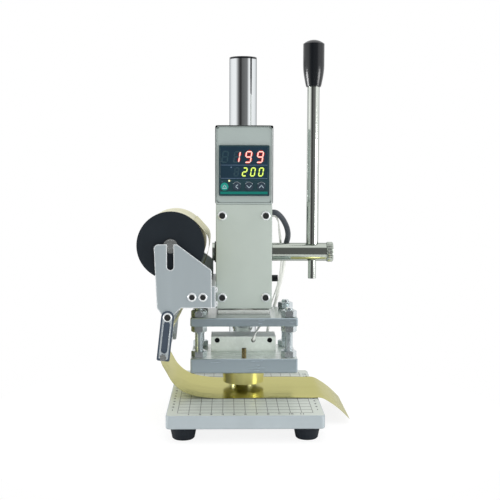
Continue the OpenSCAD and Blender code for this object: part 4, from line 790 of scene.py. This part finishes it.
SOCKET_AF, SOCKET_WALL = 4.5, 0.12
SOCKET_FLOOR, SHADE_R, SHADE_LIFT = 0.45, 3.0, 0.04
DOME_RIM = 0.3
COVER_SCREW_H, PLATE_SCREW_H, PIVOT_H = 2.6, 2.4, 2.6
COVER_SCREW_R, PLATE_SCREW_R, PIVOT_R = 4.5, 4.0, 4.3
PLATE_SCREW_INS, PLATE_SCREW_RISE = (4.6, 14.6), 10.1
PIVOT_X, PIVOT_Z = middle_mm("roll_shaft").x - 2.5, low_mm("front_cover").z - 1.3


def add_socket(bm, place, turn, head_r, head_h):
    """Painted shade lining a hex socket and in a ring round its mouth, in a domed screw head that stands on
    a face.
    """
    outer = hexagon(SOCKET_AF)
    inner = hexagon(SOCKET_AF - 2 * SOCKET_WALL)
    floor = SOCKET_FLOOR * head_h + SHADE_LIFT

    def dome(r):
        return head_h * (DOME_RIM + (1 - DOME_RIM) * math.sqrt(1 - (r / head_r) ** 2))

    rows = [
        (outer, floor), (outer, lambda a: dome(outer(a))), (SHADE_R, dome(SHADE_R)),
        (SHADE_R, dome(SHADE_R) + SHADE_LIFT), (inner, lambda a: dome(inner(a)) + SHADE_LIFT),
        (inner, floor + SOCKET_WALL),
    ]
    turned(bm, rows, place, turn)


def add_sockets():
    low, high = low_mm("cover_screws"), high_mm("cover_screws")
    bm = bmesh.new()
    for x in (low.x + COVER_SCREW_R, high.x - COVER_SCREW_R):
        for z in (low.z + COVER_SCREW_R, high.z - COVER_SCREW_R):
            place = (x, low_mm("front_cover").y, z)
            add_socket(bm, place, FACE_FRONT, COVER_SCREW_R, COVER_SCREW_H)
    screw_z = low_mm("bracket_bar").z + PLATE_SCREW_RISE
    for turn, corner in ((FACE_FRONT, low_mm), (FACE_BACK, high_mm)):
        for inward in PLATE_SCREW_INS:
            place = (low_mm("bracket_lugs").x + inward, corner("bracket_plates").y, screw_z)
            add_socket(bm, place, turn, PLATE_SCREW_R, PLATE_SCREW_H)
        add_socket(bm, (PIVOT_X, corner("guide_arms").y, PIVOT_Z), turn, PIVOT_R, PIVOT_H)
    piece("socket_painted_shade", bm, [SOCKET_SHADE], "head")


SENSOR_HOLE_R, SENSOR_HOLE_IN, SENSOR_HOLE_T = 2.1, 1.3, 0.12


def add_sensor_hole():
    """Painted shade round the hole where the sensor lead goes into the heater block."""
    end = SENSOR_ROUTE[-1]
    face = low_mm("heater_block").y
    rows = [
        (SENSOR_HOLE_IN, 0), (SENSOR_HOLE_R, 0),
        (SENSOR_HOLE_R, SENSOR_HOLE_T), (SENSOR_HOLE_IN, SENSOR_HOLE_T),
    ]
    bm = bmesh.new()
    turned(bm, rows, (end[0], face, end[2]), FACE_FRONT, sides=FEW_SIDES, ring=True)
    piece("sensor_hole_painted_shade", bm, [SOCKET_SHADE], "ram_unit")


KNURLS, KNURL_DEPTH = 36, 0.45
KNOB_EDGE, KNOB_GAP = 0.9, 0.3
KNOB_LIP, KNOB_DISH, KNOB_DISH_DEPTH = 1.2, 1.6, 0.5
SET_SCREW_R = 3.0


def add_knob():
    low, high, mid = low_mm("set_knob"), high_mm("set_knob"), middle_mm("set_knob")
    radius = (high.y - low.y) / 2
    start = high_mm("cross_shaft").x + KNOB_GAP

    def knurl(a):
        return radius - KNURL_DEPTH * (0.5 - 0.5 * math.cos(KNURLS * a))

    rim = radius - KNOB_EDGE
    rows = [
        (SET_SCREW_R, low.x), (SET_SCREW_R, start), (rim, start), (knurl, start + KNOB_EDGE),
        (knurl, high.x - KNOB_EDGE), (rim, high.x), (rim - KNOB_LIP, high.x),
        (rim - KNOB_DISH, high.x - KNOB_DISH_DEPTH),
    ]
    bm = bmesh.new()
    turned(bm, rows, (0, mid.y, mid.z), FACE_RIGHT, sides=4 * KNURLS)
    obj = piece("knurled_set_knob", bm, [TURNED_X], "set_screw")
    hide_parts("set_knob")


ARM_TILT = math.radians(6.4)
ARM_W, ARM_LENGTH, ARM_TAIL, ARM_CORNER, ARM_EDGE = 12.0, 37.4, 3.4, 1.6, 1.6
ARM_SLOT_W, ARM_SLOT_IN, ARM_SLOT_DEPTH = 5.7, 6.6, 1.2
LINING = 0.1


def on_arm(points):
    """Points of an upright arm below the origin, moved to the tilted arm."""
    c, s = math.cos(-ARM_TILT), math.sin(-ARM_TILT)
    return [(PIVOT_X + c * x - s * z, PIVOT_Z + s * x + c * z) for x, z in points]


def slot_outline():
    r, end = ARM_SLOT_W / 2, ARM_LENGTH - ARM_SLOT_IN
    return on_arm(arc_points(0, -ARM_SLOT_IN, r, 0, 180) + arc_points(0, -end, r, 180, 360))


def arm_outline(inset):
    """The outline of an arm, or a line that runs inside it."""
    half, end, corner = ARM_W / 2 - inset, ARM_LENGTH + ARM_TAIL - inset, ARM_CORNER
    points = arc_points(0, 0, half, 0, 180)
    points += arc_points(corner - half, corner - end, corner, 180, 270, CORNER_STEPS)
    points += arc_points(half - corner, corner - end, corner, 270, 360, CORNER_STEPS)
    return on_arm(points)


def frame_cut(bm, outer, inner, front, depth):
    """A flat frame between two outlines of X and Z points."""
    loops = []
    for outline, y in ((outer, front), (inner, front), (inner, front + depth), (outer, front + depth)):
        loops.append([bm.verts.new(Vector((x, y, z)) * MM) for x, z in outline])
    for a, b in zip(loops, loops[1:] + loops[:1]):
        for k in range(len(a)):
            n = (k + 1) % len(a)
            bm.faces.new((a[k], a[n], b[n], b[k]))


def add_arm_trim():
    """Painted shade on the floors of the blind slots in the two arms and along the edges of their faces."""
    slot, outer, inner = slot_outline(), arm_outline(0), arm_outline(ARM_EDGE)
    low, high = low_mm("guide_arms").y, high_mm("guide_arms").y
    bm = bmesh.new()
    sheet_cut(bm, slot, low + ARM_SLOT_DEPTH - LINING, LINING)
    sheet_cut(bm, slot, high - ARM_SLOT_DEPTH, LINING)
    frame_cut(bm, outer, inner, low - LINING / 2, LINING)
    frame_cut(bm, outer, inner, high - LINING / 2, LINING)
    piece("arm_slot_painted_shade", bm, [SLOT_SHADE], "arm_pair")


SPRING_WIRE_D, SPRING_COILS, SPRING_STEPS = 1.5, 4.5, 32


def add_spring():
    """The return spring as a round coil between its bush and the ram's collar."""
    low, high, mid = low_mm("return_spring"), high_mm("return_spring"), middle_mm("return_spring")
    wire = SPRING_WIRE_D / 2
    radius = (high.y - low.y) / 2 - wire
    count = int(SPRING_COILS * SPRING_STEPS)
    line = []
    for i in range(count + 1):
        a = 2 * math.pi * i / SPRING_STEPS
        rise = low.z + wire + (high.z - low.z - 2 * wire) * i / count
        line.append(Vector((radius * math.cos(a), mid.y + radius * math.sin(a), rise)))
    bm = bmesh.new()
    sweep(bm, line, wire, WIRE_SIDES)
    obj = piece("coil_spring", bm, [ZINC])
    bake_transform(obj)
    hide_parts("return_spring")


add_balance_nuts()
add_stud_nuts()
add_studs()
add_spring()
add_sockets()
add_sensor_hole()
add_knob()
add_arm_trim()


# Controller face
INK = 0.06
SEGMENTS = {"0": "abcdef", "1": "bc", "2": "abged", "8": "abcdefg", "9": "abcdfg"}
SLANT = math.tan(math.radians(9))
SEGMENT_GAP = 0.12


def segment_outline(which, width, height, t):
    """One bar of a seven-bar digit that stands on the origin, pointed at both ends."""
    w, h = width - t, height - t
    ends = {
        "a": ((0, h), (w, h)), "b": ((w, h / 2), (w, h)), "c": ((w, 0), (w, h / 2)), "d": ((0, 0), (w, 0)),
        "e": ((0, 0), (0, h / 2)), "f": ((0, h / 2), (0, h)), "g": ((0, h / 2), (w, h / 2)),
    }[which]
    p, q = Vector(ends[0]), Vector(ends[1])
    along = (q - p).normalized()
    side = Vector((-along.y, along.x)) * t / 2
    point = along * t / 2
    gap = along * SEGMENT_GAP
    p, q = p + gap, q - gap
    corners = [p, p + point - side, q - point - side, q, q - point + side, p + point + side]
    return [(c.x + t / 2, c.y + t / 2) for c in corners]


def face_z(rise):
    """A height on the controller's face, from its lower edge."""
    return low_mm("controller_body").z + rise


def add_digit(bm, text, row, x, front, grow=0.0):
    """A digit of a row, with its bars widened on every side."""
    foot = face_z(row["rise"])
    for which in SEGMENTS[text]:
        outline = segment_outline(which, row["w"] + 2 * grow, row["h"] + 2 * grow, row["t"] + 2 * grow)
        spots = [(u - grow, v - grow) for u, v in outline]
        sheet_cut(bm, [(x + u + v * SLANT, foot + v) for u, v in spots], front, INK)


# Rows of digits: rise, width, height, bar width, pitch, and the places of the last digit and the unlit ones
RED_ROW = {
    "rise": 31.3, "w": 6.4, "h": 11.4, "t": 1.35, "pitch": 11.1, "x": 11.0, "unlit": (-22.3, -11.1),
}
LIME_ROW = {"rise": 18.5, "w": 4.8, "h": 8.7, "t": 1.15, "pitch": 7.8, "x": 13.0, "unlit": (-10.4,)}
CORE_GROW, RIM_GROW, HALO_GROW = -0.12, 0.22, 1.0


def add_readout(name, row, text, finishes, front):
    """A row of digits that ends at the right: bright bars, their rim and glow, and bars that are off."""
    shapes = {kind: bmesh.new() for kind in ("core", "rim", "halo", "unlit")}
    for n, digit in enumerate(reversed(text)):
        x = row["x"] - n * row["pitch"]
        add_digit(shapes["halo"], digit, row, x, front, HALO_GROW)
        add_digit(shapes["rim"], digit, row, x, front - INK / 2, RIM_GROW)
        add_digit(shapes["core"], digit, row, x, front - INK, CORE_GROW)
    for x in row["unlit"]:
        add_digit(shapes["unlit"], "8", row, x, front + INK / 2)
    for kind, material in zip(shapes, finishes):
        piece(f"{name}_{kind}", shapes[kind], [material], "head")


DISPLAY_LINE_RISES, DISPLAY_LINE_W, DISPLAY_MARGIN = (29.3, 16.7), 0.5, 0.6
# Dots and the output light: place across the face, rise and radius
DISPLAY_DOTS = [(-12.4, 27.2, 0.7), (-21.0, 13.4, 0.45), (-8.0, 13.4, 0.45), (2.0, 13.4, 0.45)]
OUTPUT_LIGHT = (-14.3, 14.4, 0.9)
DOT_SIDES = 16
STRIP_LOW, STRIP_HIGH, STRIP_LEFT, STRIP_RIGHT = 1.7, 4.2, 1.2, 1.6
KEY_ARC_R, KEY_ARC_FROM, KEY_ARC_TO, KEY_ARC_W, KEY_ARC_STEPS = 4.2, 40, 140, 0.8, 8
SIGN_W = 0.65


def add_dot(bm, dot, front, depth):
    x, rise, radius = dot
    round_end = 360 - 360 / DOT_SIDES
    sheet_cut(bm, arc_points(x, face_z(rise), radius, 0, round_end, DOT_SIDES - 1), front, depth)


def add_controller_face():
    low, high = low_mm("display_window"), high_mm("display_window")
    front = low.y - INK
    add_readout("readout_red", RED_ROW, "199", (RED_CORE, RED_RIM, RED_HALO, GHOST), front)
    add_readout("readout_lime", LIME_ROW, "200", (LIME_CORE, LIME_RIM, LIME_HALO, GHOST), front)
    bm = bmesh.new()
    left, right, half = low.x + DISPLAY_MARGIN, high.x - DISPLAY_MARGIN, DISPLAY_LINE_W / 2
    for z in map(face_z, DISPLAY_LINE_RISES):
        slab(bm, (left, front + INK / 2, z - half), (right, front + INK, z + half))
    for dot in DISPLAY_DOTS:
        add_dot(bm, dot, front + INK / 2, INK / 2)
    piece("display_lines", bm, [LINE_BLUE], "head")
    bm = bmesh.new()
    add_dot(bm, OUTPUT_LIGHT, front - INK, INK)
    piece("output_light", bm, [DOT_GLOW], "head")
    low, high = low_mm("controller_body"), high_mm("controller_body")
    bm = bmesh.new()
    left, right = low.x + STRIP_LEFT, high.x - STRIP_RIGHT
    slab(bm, (left, low.y - INK, face_z(STRIP_LOW)), (right, low.y, face_z(STRIP_HIGH)))
    piece("bezel_strip", bm, [STRIP_TEAL], "head")
    bm = bmesh.new()
    for node in ("key_shift_left", "key_down", "key_up"):
        mid = middle_mm(node)
        arc = arc_points(mid.x, mid.z, KEY_ARC_R, KEY_ARC_FROM, KEY_ARC_TO, KEY_ARC_STEPS)
        stroke(bm, arc, KEY_ARC_W, low.y - INK, INK)
    piece("key_arcs", bm, [SYMBOL_DIM], "head")


KEY_SIGNS = {
    "key_mode": ("mode_key", [[(-1.6, -0.6), (0, 1.5), (1.6, -0.6)], [(-1.9, -1.6), (1.9, -1.6)]]),
    "key_shift_left": ("shift_key", [[(1.0, 1.8), (-1.2, 0), (1.0, -1.8)]]),
    "key_down": ("down_key", [[(-2.0, 1.0), (0, -1.4), (2.0, 1.0)]]),
    "key_up": ("up_key", [[(-2.0, -1.2), (0, 1.4), (2.0, -1.2)]]),
}


def add_key_signs():
    for node, (body, lines) in KEY_SIGNS.items():
        low, mid = low_mm(node), middle_mm(node)
        bm = bmesh.new()
        for points in lines:
            stroke(bm, [(mid.x + x, mid.z + z) for x, z in points], SIGN_W, low.y - INK, INK)
        piece(f"sign_{node}", bm, [SYMBOL], body)


SEAM_IN, SEAM_W, SEAM_CORNER, SEAM_T, SEAM_PROUD = 0.15, 0.9, 2.6, 0.3, 0.05
EDGE_LINE_W, RIM_HIGHLIGHT_W = 0.7, 0.65


def add_box_seam():
    """The joint round the top of the control box face and its two corner gaps, darkened with painted shade,
    its shaded side edges, and a painted highlight along its right rim.
    """
    low, high = low_mm("control_box"), high_mm("control_box")
    front, top = low.y - SEAM_PROUD, high.z - SEAM_IN
    left, right = low.x + SEAM_CORNER / 2, high.x - SEAM_CORNER / 2
    bm = bmesh.new()
    slab(bm, (left, front, top - SEAM_W), (right, front + SEAM_T, top))
    for side, x in ((1, low.x + SEAM_IN), (-1, high.x - SEAM_IN)):
        near, far = x + side * SEAM_W, x + side * SEAM_CORNER
        corner = [
            (x, top - SEAM_CORNER), (near, top - SEAM_CORNER), (far, top - SEAM_W), (far, top), (near, top),
            (x, top - SEAM_W),
        ]
        sheet_cut(bm, corner, front - SEAM_PROUD, SEAM_T)
    piece("box_seam_line", bm, [SEAM_SHADE], "head")
    bm = bmesh.new()
    for x in (low.x + SEAM_IN, high.x - SEAM_IN - EDGE_LINE_W):
        slab(bm, (x, front, low.z + SEAM_W), (x + EDGE_LINE_W, front + SEAM_T, top - SEAM_CORNER))
    piece("box_edge_lines", bm, [SEAM_PALE], "head")
    # A painted highlight along the right rim of the face
    bm = bmesh.new()
    x = high.x - SEAM_IN - EDGE_LINE_W
    slab(bm, (x - RIM_HIGHLIGHT_W, front, low.z + SEAM_W), (x, front + SEAM_T, top - SEAM_CORNER))
    piece("box_rim_highlight_strip", bm, [RIM_HIGHLIGHT], "head")


add_controller_face()
add_key_signs()
add_box_seam()


# Floor, world and lamps
FLOOR_R, FLOOR_SIDES = 0.26, 96
FLOOR_PAPER, FLOOR_DRIFT, FLOOR_DEPTH = rgb(246, 246, 246), 3.0, 0.01
FLOOR_ROUGH, FLOOR_CLOUDS = (0.6, 0.7), 20.0
# How much of the floor the camera sees as plain white, and how bright
WHITE_SHARE, WHITE_LEVEL = 0.8, 1.08
DIFFUSE_LEVEL = 0.75
# The studio behind the camera: where it gives way to white, and its level from left to right
FRONT_FROM, FRONT_TO = -0.62, -0.4
FRONT_LEVELS = [
    (-0.9, 1.0), (-0.8, 0.6), (-0.7, 0.32), (-0.58, 0.12), (-0.46, 0.045), (-0.3, 0.03), (-0.16, 0.12),
    (0.56, 0.21), (0.66, 0.6), (0.76, 1.0),
]


def add_floor():
    bm = bmesh.new()
    bmesh.ops.create_circle(bm, cap_ends=True, segments=FLOOR_SIDES, radius=FLOOR_R)
    data = bpy.data.meshes.new("floor")
    bm.to_mesh(data)
    bm.free()
    floor = bpy.data.objects.new("floor", data)
    scene.collection.objects.link(floor)
    s = Surface("floor_white")
    s.tone(FLOOR_PAPER, FLOOR_DRIFT, FLOOR_DEPTH)
    s.rough(*FLOOR_ROUGH, FLOOR_CLOUDS)
    white = s.add("ShaderNodeEmission")
    white.inputs["Color"].default_value = WHITE
    white.inputs["Strength"].default_value = WHITE_LEVEL
    path = s.add("ShaderNodeLightPath")
    seen = s.add("ShaderNodeMath")
    seen.operation = "MULTIPLY"
    seen.inputs[1].default_value = WHITE_SHARE
    s.link(path.outputs["Is Camera Ray"], seen.inputs[0])
    mix = s.add("ShaderNodeMixShader")
    s.link(seen.outputs["Value"], mix.inputs["Fac"])
    s.link(s.shader.outputs["BSDF"], mix.inputs[1])
    s.link(white.outputs["Emission"], mix.inputs[2])
    s.link(mix.outputs["Shader"], s.tree.nodes["Material Output"].inputs["Surface"])
    data.materials.append(s.material)


def add_world():
    """White all round, with a dark studio side in front that shows in reflections only."""
    world = bpy.data.worlds.new("studio")
    world.use_nodes = True
    scene.world = world
    tree = world.node_tree
    back = tree.nodes["Background"]
    back.inputs["Color"].default_value = WHITE

    def math_node(operation, *values):
        node = tree.nodes.new("ShaderNodeMath")
        node.operation = operation
        for socket, value in zip(node.inputs, values):
            if isinstance(value, float):
                socket.default_value = value
            else:
                tree.links.new(value, socket)
        return node.outputs["Value"]

    path = tree.nodes.new("ShaderNodeLightPath").outputs
    place = tree.nodes.new("ShaderNodeTexCoord").outputs["Generated"]
    parts = tree.nodes.new("ShaderNodeSeparateXYZ")
    tree.links.new(place, parts.inputs["Vector"])
    front = tree.nodes.new("ShaderNodeMapRange")
    front.inputs["From Min"].default_value = FRONT_FROM
    front.inputs["From Max"].default_value = FRONT_TO
    tree.links.new(parts.outputs["Y"], front.inputs["Value"])
    across = tree.nodes.new("ShaderNodeValToRGB")
    stops = across.color_ramp.elements
    stops[1].position = 1.0
    for n, (x, level) in enumerate(FRONT_LEVELS):
        stop = stops[0] if n == 0 else stops.new((x + 1) / 2)
        stop.position = (x + 1) / 2
        stop.color = (level, level, level, 1.0)
    spread = math_node("MULTIPLY_ADD", parts.outputs["X"], 0.5, 0.5)
    tree.links.new(spread, across.inputs["Fac"])
    studio = math_node("MAXIMUM", across.outputs["Color"], front.outputs["Result"])
    mirrored = math_node("MULTIPLY", path["Is Glossy Ray"], studio)
    seen = math_node("MAXIMUM", path["Is Camera Ray"], path["Is Transmission Ray"])
    other = math_node("SUBTRACT", 1.0, math_node("MAXIMUM", path["Is Glossy Ray"], seen))
    spread_light = math_node("MULTIPLY", other, DIFFUSE_LEVEL)
    level = math_node("ADD", spread_light, math_node("MAXIMUM", seen, mirrored))
    tree.links.new(level, back.inputs["Strength"])


def add_lamp(name, place, aim, size, power, mirrored_only=False):
    data = bpy.data.lights.new(name, "AREA")
    data.shape = "RECTANGLE"
    data.size, data.size_y = size
    data.energy = power
    lamp = bpy.data.objects.new(name, data)
    scene.collection.objects.link(lamp)
    lamp.location = place
    lamp.rotation_mode = "QUATERNION"
    lamp.rotation_quaternion = (Vector(aim) - Vector(place)).to_track_quat("-Z", "Y")
    lamp.visible_glossy = mirrored_only
    lamp.visible_diffuse = not mirrored_only


add_floor()
add_world()
add_lamp("key", (-0.7, -0.9, 0.2), (0, 0, 0.1), (0.6, 0.6), 0.45)
add_lamp("fill", (1.0, -0.2, 0.25), (0, 0, 0.15), (0.6, 0.6), 2.4)
add_lamp("low", (0.12, -0.95, 0.06), (0, 0, 0.06), (0.5, 0.14), 3.5)
add_lamp("top", (0.0, 0.1, 1.3), (0, 0, 0.1), (0.8, 0.8), 4.2)
add_lamp("left_strip", (-0.9, 0.03, 0.14), (0.07, 0.04, 0.33), (0.4, 0.26), 4.8, mirrored_only=True)
add_lamp("right_strip", (0.94, -0.39, 0.18), (0.07, 0.04, 0.33), (0.4, 0.26), 2.6, mirrored_only=True)
